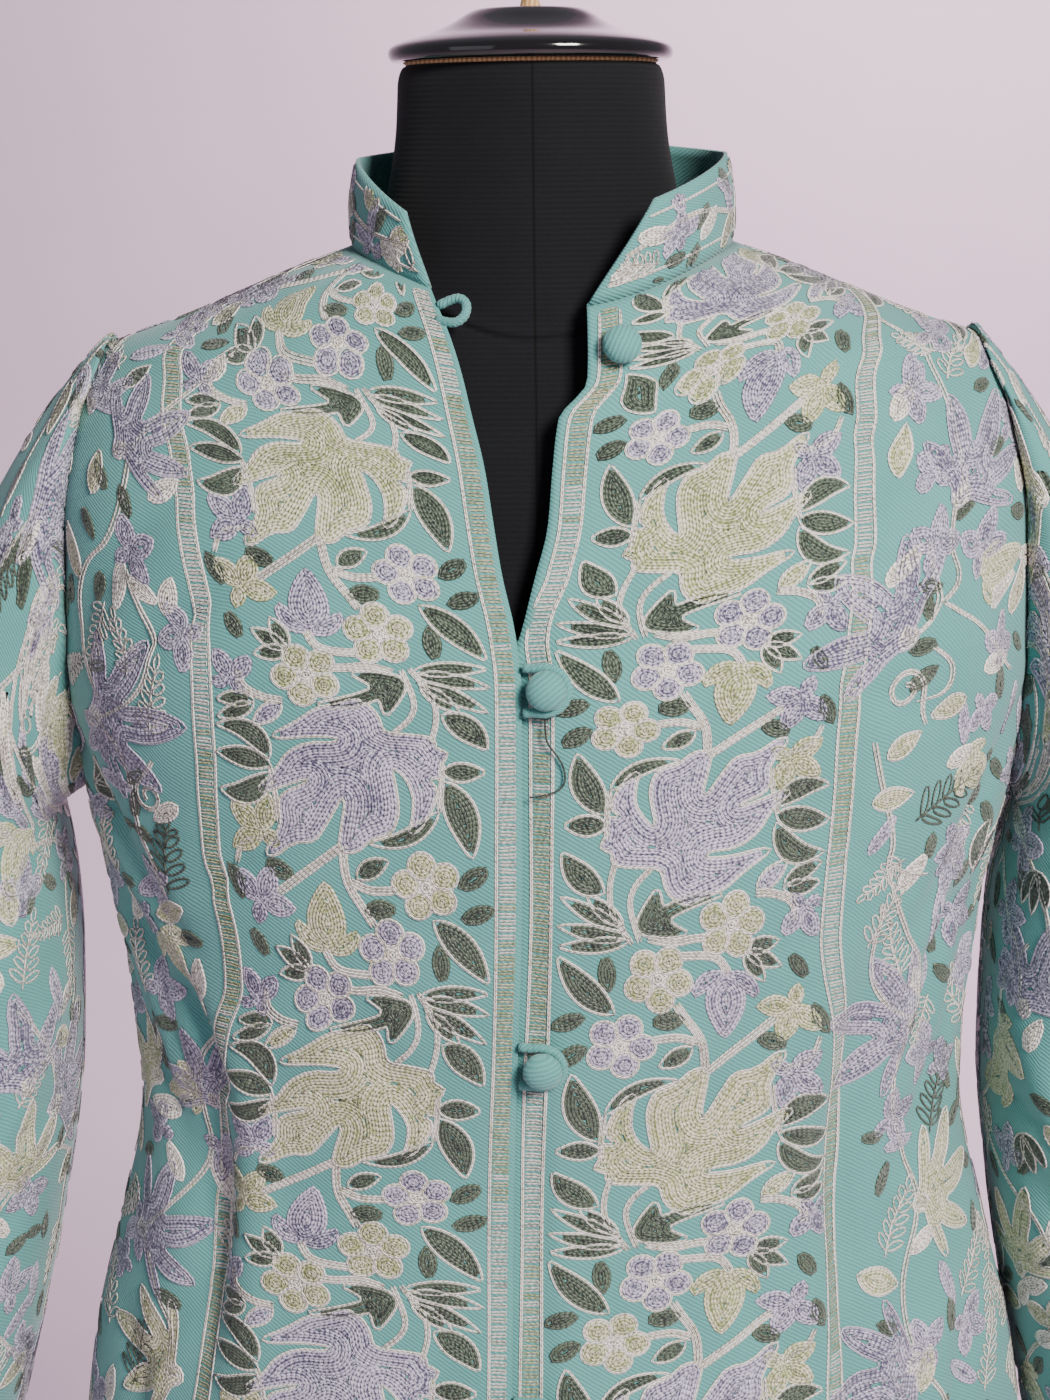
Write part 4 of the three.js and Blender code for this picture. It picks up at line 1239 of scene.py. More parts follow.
def ribbed_jersey(name):
    """Cotton jersey, knitted in fine ribs and stretched over padding, with a sewn seam down the front."""
    material, tree, shader = new_material(name)
    place = add_node(tree, "ShaderNodeTexCoord").outputs["Object"]
    parts = add_node(tree, "ShaderNodeSeparateXYZ", {0: place}).outputs
    x, z = parts[0], parts[2]
    ribs = calc(tree, "SINE", calc(tree, "MULTIPLY", z, 2 * math.pi / (JERSEY_PITCH * MM)))
    grain = noise(tree, place, 900.0, 2.0)
    lint = noise(tree, place, 60.0, 3.0)
    # 1 on the seam at x = 0, and fading out within a millimetre
    seam = calc(tree, "POWER", 2.718, calc(tree, "MULTIPLY", calc(tree, "MULTIPLY", x, x), -4.0e6))
    # painted shade: the ribs are painted a little lighter on their crests and darker between them
    tone = calc(tree, "MULTIPLY_ADD", ribs, 0.16, calc(tree, "MULTIPLY_ADD", grain, 0.6, 0.1))
    tone = calc(tree, "MULTIPLY_ADD", lint, 0.3, calc(tree, "SUBTRACT", tone, seam))
    tone = add_node(tree, "ShaderNodeClamp", {0: tone}).outputs[0]
    colour = blend(tree, tone, linear("060709"), linear("15171c"))
    relief = calc(tree, "MULTIPLY_ADD", ribs, 0.3, grain)
    relief = calc(tree, "SUBTRACT", relief, calc(tree, "MULTIPLY", seam, 2.0))
    finish_shader(tree, shader, colour, relief, 0.5, 0.0003)
    shader.inputs["Roughness"].default_value = 0.9
    shader.inputs["Specular IOR Level"].default_value = 0.2
    shader.inputs["Sheen Weight"].default_value = 0.06
    return material


def plain_coating(name, dark, light, roughness, scale, coat=0.0):
    """A sprayed or brushed coat: nearly one tone, with faint clouding and a little orange peel."""
    material, tree, shader = new_material(name)
    place = add_node(tree, "ShaderNodeTexCoord").outputs["Object"]
    cloud = noise(tree, place, scale, 3.0)
    finish_shader(tree, shader, blend(tree, cloud, linear(dark), linear(light)), cloud, 0.12, 0.0003)
    shader.inputs["Roughness"].default_value = roughness
    shader.inputs["Coat Weight"].default_value = coat
    shader.inputs["Coat Roughness"].default_value = 0.06
    return material


def turned_beech(name):
    """Beech turned on a lathe and left raw: fine rings of grain and a dry surface."""
    material, tree, shader = new_material(name)
    place = add_node(tree, "ShaderNodeTexCoord").outputs["Object"]
    wave = add_node(tree, "ShaderNodeTexWave", {"Vector": place, "Scale": 160.0, "Distortion": 4.0})
    grain = wave.outputs[1]
    finish_shader(tree, shader, blend(tree, grain, linear("a97a4c"), linear("d9b381")), grain, 0.2, 0.0002)
    shader.inputs["Roughness"].default_value = 0.6
    return material


MATERIALS = {}


def material(name):
    """Each material is made once, when it is first used."""
    if name not in MATERIALS:
        look = bpy.context.scene.coat_look
        tones = (look.twill_dark, look.twill_light)
        dark, light = ["".join("%02x" % round(255 * c) for c in tone) for tone in tones]
        MATERIALS[name] = {
            "twill": lambda: twill_weave("piece_dyed_twill", dark, light),
            "cream": lambda: chain_thread("cream_chain_thread", "8d8678", "fffaf3", "d0cfa2", 0.36),
            "violet": lambda: chain_thread("violet_chain_thread", "514f6e", "cfc8df", "4a4a66", 0.32),
            "pistachio": lambda: chain_thread("pistachio_chain_thread", "7f8a55", "e6e2c6", "a3b26a", 0.42),
            "moss": lambda: chain_thread("moss_chain_thread", "18251d", "566653", "8f9a86", 0.26),
            "jersey": lambda: ribbed_jersey("stretched_ribbed_jersey"),
            "lacquer": lambda: plain_coating("gloss_black_lacquer", "070608", "0f0d0e", 0.12, 30.0, 0.8),
            "steel": lambda: plain_coating("satin_black_paint_on_steel", "121214", "1d1d20", 0.38, 80.0),
            "beech": lambda: turned_beech("raw_turned_beech"),
            "floor": lambda: plain_coating("matt_studio_paper", "e2cedd", "ead8e5", 0.9, 3.0),
        }[name]()
    return MATERIALS[name]


def thread_materials():
    return [material(n) for n in ("cream", "violet", "pistachio", "moss")]


# The pieces of cloth and where the pattern lies on them

GRIDS = {}


def cloth(name):
    """The grid of a piece of the coat, made once."""
    if name not in GRIDS:
        if name in ("coat_front_right", "coat_front_left"):
            side = -1 if name.endswith("right") else 1
            points, normals = front_grid(side)
            GRIDS[name] = Panel(points, normals, LEVELS, 1.0 if side < 0 else 0.0)
        elif name == "coat_back":
            points, normals = back_grid()
            GRIDS[name] = Panel(points, normals, LEVELS, 0.5)
        elif name == "collar":
            points, normals = collar_grid()
            GRIDS[name] = Panel(points, normals, np.linspace(0, COLLAR_HEIGHT, len(points)), 0.5)
        else:
            side, swing = (-1, 24) if name.endswith("right") else (1, 0)
            points, normals = sleeve_grid(side, swing)
            GRIDS[name] = Panel(points, normals, np.linspace(0, SLEEVE_SPAN, len(points)), 0.5, wraps=True)
    return GRIDS[name]


def grid_spot(name, deg, level):
    """Row and column of a front's or the back's grid at an angle and a level."""
    panel = cloth(name)
    row = np.interp(level, LEVELS, np.arange(len(LEVELS)))
    phi = np.radians(deg)
    if name == "coat_back":
        first = np.pi / 2 + armhole_cut(level, ARMHOLE_BACK_DEG)
        share = (phi - first) / (2 * np.pi - 2 * first)
    else:
        side = -1 if name.endswith("right") else 1
        first = phi_at_x(EDGES("right" if side < 0 else "left", level), level)
        last = side * (np.pi / 2 - armhole_cut(level, ARMHOLE_FRONT_DEG))
        share = (phi - first) / (last - first)
        if side < 0:
            share = 1 - share
    return row, share * (panel.loop.shape[1] - 1)


def spots_around(name, row, column):
    """Turns pattern points about a spot of a grid, in millimetres across and up, into rows and columns."""
    panel = cloth(name)
    j = int(np.clip(round(float(column)), 0, panel.loop.shape[1] - 1))
    rows = np.arange(len(panel.heights))
    rise = panel.rises[:, j]
    here = np.interp(row, rows, rise)
    across = panel.sample(panel.lengths, np.array([row]), np.array([column]))[0]

    def spots(points):
        up, length = here + points[:, 1], across + points[:, 0]
        r = np.interp(up, rise, rows)
        c = panel.sample(panel.inverse, r, (length - panel.low) / panel.inverse_step)
        on = (up > rise[0] + HEM_CLEARANCE) & (up < rise[-1] - HEM_CLEARANCE)
        on &= length > np.interp(r, rows, panel.lengths[:, 0]) + EDGE_CLEARANCE
        on &= length < np.interp(r, rows, panel.lengths[:, -1]) - EDGE_CLEARANCE
        return r, c, on

    return spots


def around(name, row, column):
    """Lays pattern points about a spot of a grid."""
    spots = spots_around(name, row, column)

    def place(points):
        r, c, on = spots(points)
        return *cloth(name).at_grid(r, c), on

    return place


def left_band_centre(level):
    """The x of the left edge band's middle, which shows beside the right front's edge."""
    closed = EDGES("right", level) + 7.6
    opened = EDGES("left", level) + 8.8
    return closed + (opened - closed) * smooth_step(level, 1262, 1300)


def across_at(name, level, deg):
    """Length across a front's grid at an angle and level."""
    row_at, column = grid_spot(name, deg, level)
    panel = cloth(name)
    return panel.sample(panel.lengths, row_at, np.clip(column, 0, panel.loop.shape[1] - 1.01))


def at_x(name, level, x):
    """Length across a front's grid at an x and level."""
    return across_at(name, level, np.degrees(phi_at_x(x, level)))


# The level of a height of the pattern, which is 0 at the middle of one of its big leaves
RIGHT_HEIGHTS = [
    [-665, 568], [-532, 700], [-399, 822], [-266, 946], [-133, 1068], [0, 1215.6], [133, 1336.7],
    [177.6, 1368], [197, 1387], [215, 1398], [240, 1411], [266, 1425],
]  # fmt: skip
LEFT_HEIGHTS = [
    [-300, 1416], [-266, 1405], [-221, 1390], [-201, 1380], [-133, 1317], [0, 1198], [133, 1054.7],
    [266, 930], [399, 806], [532, 682], [665, 560],
]  # fmt: skip


def place_front_pattern(name, shift_v):
    """Lays one repeat between a front's two bands, moved along by a length."""
    right = name.endswith("right")
    table = np.array(RIGHT_HEIGHTS if right else LEFT_HEIGHTS, float)

    def place(points):
        u, v = points[:, 0], points[:, 1] + shift_v
        raw = np.interp(v, table[:, 0], table[:, 1])
        level = np.clip(raw, HEM_LEVEL, NECK_LEVEL)
        if right:
            start = across_at(name, level, BANDS("right", level)) + PANEL_START
            end = at_x(name, level, EDGES("right", level)) - PANEL_END_RIGHT
        else:
            start = across_at(name, level, BANDS("left", level)) - PANEL_START
            end = at_x(name, level, left_band_centre(level)) + PANEL_END_LEFT
        point, normal, on = cloth(name).at(start + (end - start) * u / PATTERN_WIDTH, level)
        on &= (raw > HEM_LEVEL + 2) & (raw < NECK_LEVEL - 1.5)
        return point, normal, on & (u > -0.6) & (u < PATTERN_WIDTH + 0.3)

    return place


def place_band(name, across_of):
    """Lays rows along a band, by how far they are from its middle and along it from the hem."""
    panel = cloth(name)
    levels = np.linspace(HEM_LEVEL, NECK_LEVEL, 260)
    middle = panel.at(across_of(levels), levels)[0]
    along = lengths_along(middle)

    def place(points):
        level = np.interp(points[:, 1], along, levels)
        return panel.at(across_of(level) + points[:, 0], level)

    return place, along[-1]


def band_rows(low, high, seed):
    """A ladder: an edge row on both sides and U-shaped rungs between them."""
    rows = []
    z = np.arange(low, high, 4.0)
    for edge in (-BAND_HALF, BAND_HALF):
        wobble = 0.25 * np.sin(z / 23 + seed + edge)
        rows.append(row(np.stack([edge + wobble, z], 1), CREAM, 0.68, 1.5, 0.1))
    rng = np.random.default_rng(seed)
    half = BAND_HALF - 0.8
    for at in np.arange(low + 1, high - 2, RUNG_SPACING):
        a, b = rng.uniform(-0.3, 0.3, 2)
        rung = np.array([[-half, a], [0, a * 0.5], [half - 0.5, b], [half, b + 0.65], [half - 0.5, b + 1.3],
                         [0, 1.3 + a * 0.4], [-half, 1.3 + a]]) + [0, at]  # fmt: skip
        tone = CREAM if math.sin(at / 37 + seed) + rng.uniform(-0.5, 0.5) > 0.1 else PISTACHIO
        shade = (0.72 if tone == CREAM else 0.42) + rng.uniform(-0.1, 0.1)
        rows.append(row(rung, tone, shade, 0.95, -0.05))
    return rows


def motif(kind):
    """The motifs of the sides, the back and the sleeves, each with its foot at 0,0 and its tip up."""
    made = {
        "violet_star": lambda: star_flower(VIOLET, 0.3, VIOLET),
        "cream_star": lambda: star_flower(PISTACHIO, 0.6, CREAM),
        "violet_three": lambda: three_petals(18, VIOLET, 0.42),
        "cream_leaf": lambda: bud_leaf(23, 9.5, CREAM, 0.66),
        "pistachio_leaf": lambda: bud_leaf(25, 12, PISTACHIO, 0.6, CREAM),
        "pistachio_tulip": lambda: tulip(26, PISTACHIO, 0.62),
        "dark_leaf": lambda: bud_leaf(17, 6.5, MOSS, 0.42),
        "edged_leaf": lambda: bud_leaf(24, 9, MOSS, 0.42, CREAM),
        "violet_leaf": lambda: bud_leaf(28, 7, VIOLET, 0.55),
        "cream_sprig": lambda: loop_sprig(30, CREAM, 5, 0.62),
        "dark_sprig": lambda: loop_sprig(32, MOSS, 5, 0.4, 14),
        "tendril": lambda: tendril(9),
        "palm": lambda: leaf_between(0, 0, -4, 24, 8.5, 3) + leaf_between(0, 0, 8, 25, 8.5, 0)
        + leaf_between(0, 0, 18, 19, 8.5, -3),
    }[kind]()
    upright = kind.split("_")[-1] in ("leaf", "sprig")
    return moved(made, 90, 0, 0) if upright else made


# The sides of the fronts: motif, angle, level, turn, scale
RIGHT_SIDE_MOTIFS = [
    ["violet_star", -71.5, 1337, 30, 0.95],
    ["violet_star", -70.5, 1225, 8, 1.3],
    ["violet_star", -63.5, 1056, 128, 0.85],
    ["violet_star", -74, 985, 20, 1.1],
    ["violet_star", -66, 868, -10, 1.1],
    ["violet_star", -73, 748, 16, 1.1],
    ["violet_three", -66.2, 1297, 20, 1.0],
    ["violet_three", -63, 1032, -30, 1.0],
    ["violet_three", -64, 800, 10, 1.0],
    ["cream_leaf", -64.8, 1319, 30, 0.8],
    ["cream_leaf", -59.5, 1274, 60, 0.8],
    ["pistachio_leaf", -73.4, 1318, 70, 0.8],
    ["pistachio_leaf", -74, 1282, 100, 0.9],
    ["pistachio_tulip", -66.5, 1132, -60, 1.2],
    ["pistachio_tulip", -66, 1060, 200, 1.0],
    ["dark_leaf", -71, 1320, 120, 0.9],
    ["dark_leaf", -76.8, 1270, 60, 0.9],
    ["dark_leaf", -66, 1184, 80, 1.0],
    ["cream_sprig", -60.5, 1222, 80, 1.0],
    ["cream_sprig", -64, 1246, 100, 0.8],
    ["dark_sprig", -62.5, 1152, 84, 1.1],
    ["tendril", -63, 1204, 20, 1.0],
    ["cream_star", -64, 930, 170, 1.1],
    ["cream_star", -64, 712, 170, 1.1],
    ["cream_star", -76, 1055, 160, 0.9],
    ["dark_sprig", -72, 912, 70, 1.0],
    ["cream_sprig", -60.5, 985, 70, 1.0],
    ["cream_leaf", -60, 1010, 130, 1.0],
    ["cream_sprig", -76, 1150, 95, 1.0],
    ["palm", -78, 1190, 40, 0.9],
    ["edged_leaf", -77, 1360, 40, 0.8],
    ["pistachio_leaf", -76, 1385, 60, 0.8],
    ["violet_three", -84, 1389, 0, 0.9],
    ["dark_leaf", -72, 1378, 20, 0.9],
    ["cream_leaf", -66, 1366, 70, 0.8],
    ["violet_star", -80, 1352, 70, 0.8],
    ["pistachio_leaf", -85, 1374, 150, 1.0],
    ["cream_sprig", -80, 1366, 120, 0.9],
    ["violet_three", -79, 1381, 30, 1.0],
    ["violet_star", -83, 1392, 80, 0.8],
    ["dark_leaf", -87, 1384, 60, 1.1],
    ["edged_leaf", -82, 1402, 100, 1.0],
]
LEFT_SIDE_MOTIFS = [
    ["cream_leaf", 62.5, 1348, 52, 0.95],
    ["cream_leaf", 53.4, 1284, 52, 0.95],
    ["pistachio_leaf", 51.6, 1214, 30, 0.75],
    ["violet_star", 67.6, 1316, 62, 1.1],
    ["violet_star", 54.4, 1264, 150, 1.15],
    ["violet_star", 63.5, 1090, 172, 1.2],
    ["violet_star", 60, 935, 190, 1.25],
    ["violet_star", 66, 800, 30, 1.2],
    ["violet_three", 60.6, 1297, 80, 1.0],
    ["violet_three", 61, 1045, 20, 1.0],
    ["dark_leaf", 58.2, 1268, 110, 0.85],
    ["pistachio_tulip", 68, 1280, 20, 1.1],
    ["pistachio_tulip", 64, 1205, 330, 1.1],
    ["tendril", 56.5, 1238, 250, 1.1],
    ["dark_sprig", 57.4, 1184, 26, 1.1],
    ["violet_leaf", 50.8, 1172, 62, 0.9],
    ["cream_leaf", 57.5, 1152, 55, 0.9],
    ["cream_sprig", 53, 1130, 60, 1.0],
    ["cream_sprig", 60, 1112, 110, 0.9],
    ["violet_leaf", 65.5, 1122, 80, 1.1],
    ["cream_leaf", 68.5, 1268, 40, 0.9],
    ["cream_leaf", 66, 1244, 10, 0.9],
    ["cream_sprig", 74, 1360, 60, 0.9],
    ["violet_three", 79, 1377, 20, 1.1],
    ["edged_leaf", 82, 1373, 60, 1.2],
    ["pistachio_leaf", 59.6, 1326, 80, 0.9],
    ["pistachio_leaf", 74, 1262, 100, 0.9],
    ["dark_leaf", 73, 1330, 20, 0.9],
    ["cream_star", 66, 1003, 10, 1.1],
    ["cream_star", 60, 868, 10, 1.1],
    ["cream_star", 62, 716, 160, 1.1],
    ["dark_sprig", 70, 1030, 70, 1.0],
    ["cream_sprig", 58, 985, 60, 1.0],
    ["palm", 73, 1150, 60, 1.0],
    ["cream_sprig", 72, 905, 70, 1.0],
    ["dark_leaf", 58, 1012, 60, 1.0],
    ["violet_star", 84, 1396, 100, 0.9],
    ["edged_leaf", 80, 1388, 30, 1.1],
    ["pistachio_leaf", 79, 1363, 60, 1.0],
    ["cream_sprig", 84, 1380, 120, 0.9],
    ["dark_leaf", 86, 1405, 140, 1.0],
]
RIGHT_SIDE_STEMS = [
    [[-66, 1378], [-69, 1350], [-70, 1336]],
    [[-70.5, 1340], [-68, 1318], [-69, 1300], [-73, 1290], [-75, 1268], [-72, 1250], [-70, 1232]],
    [[-66, 1290], [-62, 1275], [-60, 1250], [-63, 1236], [-69, 1226]],
    [[-70, 1225], [-65, 1210], [-66, 1180], [-63, 1160], [-65, 1130], [-61, 1110], [-60.3, 1098]],
    [[-60, 1096], [-64, 1080], [-66, 1055], [-64, 1030], [-68, 1005], [-74, 985]],
    [
        [-74, 985], [-68, 960], [-64, 935], [-66, 900], [-66, 868], [-70, 830], [-64, 795], [-72, 750],
        [-64, 710],
    ],
]
LEFT_SIDE_STEMS = [
    [[60, 1300], [60, 1284], [61, 1274], [57, 1266], [54.5, 1262]],
    [[61, 1275], [64, 1284], [63, 1298], [67, 1314]],
    [[61, 1275], [66, 1263], [69, 1250], [72, 1240]],
    [[58, 1258], [61, 1250], [60, 1238], [56, 1236]],
    [[49.5, 1222], [51, 1205], [54, 1180], [54.5, 1163], [57, 1148], [61, 1128], [66, 1104], [63.5, 1090]],
    [[55, 1166], [59, 1158], [64, 1158]],
    [[54, 1150], [54.5, 1122], [58, 1100], [63, 1090]],
    [
        [63, 1088], [60, 1060], [64, 1030], [66, 1005], [60, 970], [60, 935], [66, 905], [60, 870],
        [66, 800], [62, 716],
    ],
    [[76, 1384], [74, 1366], [70, 1345], [67.8, 1318]],
]

# One cell of the all-over pattern of the back and the sleeves: motif, x, y, turn, scale
CELL_MOTIFS = [
    ["violet_star", 6, 14, 24, 1.15],
    ["cream_star", -46, -44, 160, 0.95],
    ["pistachio_tulip", 46, 34, -40, 1.1],
    ["violet_three", 44, -40, 10, 1.1],
    ["dark_sprig", -40, 26, 70, 1.0],
    ["cream_sprig", 16, -52, -110, 1.0],
    ["cream_sprig", -18, 44, 120, 0.9],
    ["palm", 62, -12, -70, 0.8],
    ["cream_leaf", -24, -12, 200, 0.9],
    ["cream_leaf", 28, 0, -20, 0.9],
    ["dark_leaf", 26, -30, -60, 1.0],
    ["dark_leaf", -14, 12, 150, 1.0],
    ["pistachio_leaf", -60, 4, 110, 0.9],
    ["violet_leaf", -8, -62, -100, 1.0],
    ["tendril", 24, 56, 40, 1.0],
    ["cream_leaf", 58, 62, 30, 0.8],
]
CELL_STEMS = [
    [[-74, -76], [-58, -60], [-46, -46], [-30, -24], [-10, -6], [6, 12]],
    [[-10, -6], [12, -10], [26, -20], [44, -38], [66, -52], [76, -74]],
    [[6, 12], [2, 36], [-10, 52], [-22, 70]],
    [[12, -10], [34, 4], [46, 32], [58, 60], [74, 76]],
    [[-30, -24], [-46, -6], [-42, 24]],
    [[26, -20], [18, -40], [14, -60]],
]


# How much room a motif takes about its middle
REACH = {
    "violet_star": 25, "cream_star": 25, "violet_three": 11, "cream_leaf": 9, "pistachio_leaf": 11,
    "pistachio_tulip": 13, "dark_leaf": 8, "edged_leaf": 10, "violet_leaf": 11, "cream_sprig": 14,
    "dark_sprig": 15, "tendril": 12, "palm": 13,
}  # fmt: skip
SMALL_MOTIFS = [
    "cream_leaf", "dark_leaf", "violet_three", "cream_sprig", "pistachio_leaf", "dark_leaf", "violet_leaf",
]  # fmt: skip


class Field:
    """Motifs laid on a grid one by one, each where there is room for it."""

    def __init__(self, stitching, name, limits=None):
        self.stitching, self.name, self.panel = stitching, name, cloth(name)
        self.rows = np.arange(len(self.panel.heights))
        self.limits = limits
        self.taken = []

    def middle(self, row_at, column, kind, turn, scale):
        """Where the middle of a motif comes to lie, as a length across and a length up."""
        reach = REACH[kind] * scale
        across = self.panel.sample(self.panel.lengths, np.array([row_at]), np.array([column]))[0]
        up = self.panel.sample(self.panel.rises, np.array([row_at]), np.array([column]))[0]
        angle = math.radians(turn)
        return across + 0.85 * reach * math.cos(angle), up + 0.85 * reach * math.sin(angle), reach

    def add(self, kind, row_at, column, turn, scale, crowd=None):
        """crowd is how close motifs may come: 1 is just touching. None lays the motif in any case."""
        x, y, reach = self.middle(float(row_at), float(column), kind, turn, scale)
        if crowd is not None:
            for x2, y2, reach2 in self.taken:
                if math.hypot(x - x2, y - y2) < crowd * (reach + reach2):
                    return
            if self.limits and not self.limits(x, float(row_at)):
                return
        self.taken.append((x, y, reach))
        self.stitching.add(
            moved(motif(kind), turn - 90, 0, 0, scale), around(self.name, float(row_at), float(column))
        )

    def scatter(self, count, seed, crowd):
        """Small motifs in what room is left."""
        rng = np.random.default_rng(seed)
        last_row, last_column = len(self.rows) - 1, self.panel.loop.shape[1] - 1
        for _ in range(count):
            row_at, column = rng.uniform(0, last_row), rng.uniform(0, last_column)
            kind = SMALL_MOTIFS[rng.integers(len(SMALL_MOTIFS))]
            self.add(kind, row_at, column, rng.uniform(0, 360), rng.uniform(0.75, 1.05), crowd)


def lay_side(stitching, name, motifs, stems, seed):
    """Lays a side's stems and motifs by angle and level, and small motifs in the gaps."""
    panel = cloth(name)
    key = name.split("_")[-1]

    def by_angle(points):
        row_at, column = grid_spot(name, points[:, 0] * 2, points[:, 1])
        point, normal = panel.at_grid(row_at, column)
        return point, normal, (column > 0.5) & (column < panel.loop.shape[1] - 1.5)

    def beyond_band(x, row_at):
        level = np.interp(row_at, np.arange(len(LEVELS)), LEVELS)
        band = across_at(name, level, BANDS(key, level))
        return x < band - BAND_CLEARANCE if key == "right" else x > band + BAND_CLEARANCE

    for line in stems:
        curve = smooth_line(np.array(line, float) * [0.5, 1], 3)
        for offset, tone in ((-0.125, 0.6), (0.125, 0.68)):
            stitching.add([row(curve + [offset, 0], CREAM, tone, 1.3, 0.12)], by_angle)
    field = Field(stitching, name, beyond_band)
    for kind, deg, level, turn, scale in motifs:
        row_at, column = grid_spot(name, deg, level)
        field.add(kind, row_at, column, turn, scale)
    field.scatter(1500, seed, 0.7)


def lay_cells(stitching, name, wide, high, first_x, first_y, seed, own_motifs=()):
    """Repeats the all-over cell in half-drop columns over a grid, each one turned a little and every second
    column mirrored.
    """
    panel = cloth(name)
    field = Field(stitching, name)
    last_row, last_column = len(panel.heights) - 1, panel.loop.shape[1] - 1
    for kind, row_share, column_share, turn, scale in own_motifs:
        field.add(kind, row_share * last_row, column_share * last_column, turn, scale)
    rng = np.random.default_rng(seed)
    middle = last_column // 2
    top = panel.rises[-1].max()
    for k, across in enumerate(np.arange(panel.low + first_x, panel.high, wide)):
        for up in np.arange(first_y - (k % 2) * high / 2, top + high / 2, high):
            r = float(np.interp(up, panel.rises[:, middle], field.rows))
            low, end = panel.lengths[int(r), 0], panel.lengths[int(r), -1]
            if not low - wide / 3 < across < end + wide / 3:
                continue
            spot = np.clip(across, low + 1, end - 1)
            at = np.array([(spot - panel.low) / panel.inverse_step])
            c = panel.sample(panel.inverse, np.array([r]), at)[0]
            drift = np.array([across - spot, up - np.interp(r, field.rows, panel.rises[:, middle])])
            flip = -1 if k % 2 else 1
            tilt = rng.uniform(-12, 12)
            lines = [one for line in CELL_STEMS for one in stem(line, 2)]
            stitching.add(moved(lines, tilt, drift[0], drift[1], 1.0, flip < 0), around(name, r, c))
            spots = spots_around(name, r, c)
            for kind, x, y, deg, scale in CELL_MOTIFS:
                at = turned_line([[x, y]], tilt, drift[0], drift[1], 1.0, flip < 0)
                row_at, column, on = spots(at)
                if on[0]:
                    turn = flip * deg + tilt + rng.uniform(-14, 14)
                    field.add(kind, row_at[0], column[0], turn, scale * rng.uniform(0.92, 1.08), 0.7)
    field.scatter(1600, seed + 1, 0.7)


# Motifs of the sleeves that show beside the fronts: motif, share of the length from the cuff up, share of
# the way round, turn, scale
RIGHT_SLEEVE_MOTIFS = [
    ["violet_star", 0.875, 0.665, 95, 1.6],
    ["tendril", 0.87, 0.755, 250, 1.4],
    ["cream_sprig", 0.80, 0.80, 80, 1.0],
    ["cream_sprig", 0.83, 0.77, 120, 1.0],
    ["violet_three", 0.606, 0.85, 80, 1.0],
    ["pistachio_tulip", 0.67, 0.86, 250, 1.1],
    ["violet_star", 0.45, 0.83, 100, 1.0],
    ["cream_sprig", 0.53, 0.83, 70, 1.0],
    ["cream_star", 0.36, 0.83, 90, 1.0],
    ["violet_three", 0.26, 0.84, 90, 1.1],
    ["pistachio_leaf", 0.915, 0.56, 60, 1.1],
    ["dark_leaf", 0.93, 0.52, 60, 1.2],
    ["violet_leaf", 0.90, 0.515, 20, 1.2],
]
LEFT_SLEEVE_MOTIFS = [
    ["cream_star", 0.915, 0.33, 95, 1.5],
    ["cream_leaf", 0.965, 0.52, 100, 1.1],
    ["dark_leaf", 0.93, 0.46, 60, 1.1],
    ["violet_star", 0.80, 0.17, 60, 1.1],
    ["dark_sprig", 0.64, 0.09, 100, 1.1],
    ["violet_star", 0.50, 0.12, 80, 1.0],
    ["pistachio_tulip", 0.43, 0.09, 200, 1.1],
    ["violet_three", 0.36, 0.08, 80, 1.0],
    ["cream_star", 0.26, 0.09, 90, 1.0],
    ["cream_sprig", 0.72, 0.13, 90, 1.0],
    ["tendril", 0.885, 0.22, 200, 1.1],
]


# Small parts and the form


def cloth_frame(x, level):
    """Axes of the cloth's surface: its point, across towards the wearer's left, up and out."""
    phi = phi_at_x(np.array(x, float), np.array(level, float))
    origin, out = coat_point(phi, np.array(level, float)), coat_normal(phi, np.array(level, float))
    across = unit(np.cross([0, 0, 1], out))
    return origin, across, np.cross(out, across), out


def in_frame(where, points):
    origin, across, up, out = where
    points = np.asarray(points, float)
    return origin + points[..., :1] * across + points[..., 1:2] * up + points[..., 2:] * out


def add_tube(name, path, radius, sides, materials):
    """A rolled tube of cloth along a path, with a flat fan across each end."""
    path = np.asarray(path, float)
    way = unit(np.gradient(path, axis=0))
    side = np.cross(way[0], [0.2, -1, 0.3])
    rings = []
    turn = 2 * np.pi * np.arange(sides) / sides
    for i, (p, d) in enumerate(zip(path, way)):
        side = unit(side - d * (side @ d))
        other = np.cross(d, side)
        r = radius * (1 + 0.05 * math.sin(i * 1.7))
        rings.append(p + r * (np.cos(turn)[:, None] * side + np.sin(turn)[:, None] * other))
    rings = shift(np.array(rings)) / MM
    return add_rings(name, rings, materials)


def add_button(number, level, x):
    """A ball button: a core covered with a round of twill, gathered into small pleats beneath."""
    where = cloth_frame(x, level)
    columns = 40
    turn = 2 * np.pi * np.arange(columns) / columns
    rings, flat = [], []
    for a in np.radians(np.linspace(-88, 88, 30)):
        pleat = 1 + 0.03 * np.sin(9 * turn + number) * max(0.0, -math.sin(a)) ** 0.7
        r = BUTTON_RADIUS * math.cos(a) * pleat
        z = BUTTON_MIDDLE + BUTTON_HALF_HEIGHT * math.sin(a)
        ring = np.stack([r * np.cos(turn), r * np.sin(turn), np.full(columns, z)], -1)
        rings.append(in_frame(where, ring))
        # the twill lies turned on each button
        flat.append(turned_line(ring[:, :2] * 0.8, 60 + 25 * number, 0, 0))
    rings = shift(np.array(rings)) / MM
    return add_rings(f"button_{number}_cloth", rings, [material("twill")], np.array(flat))


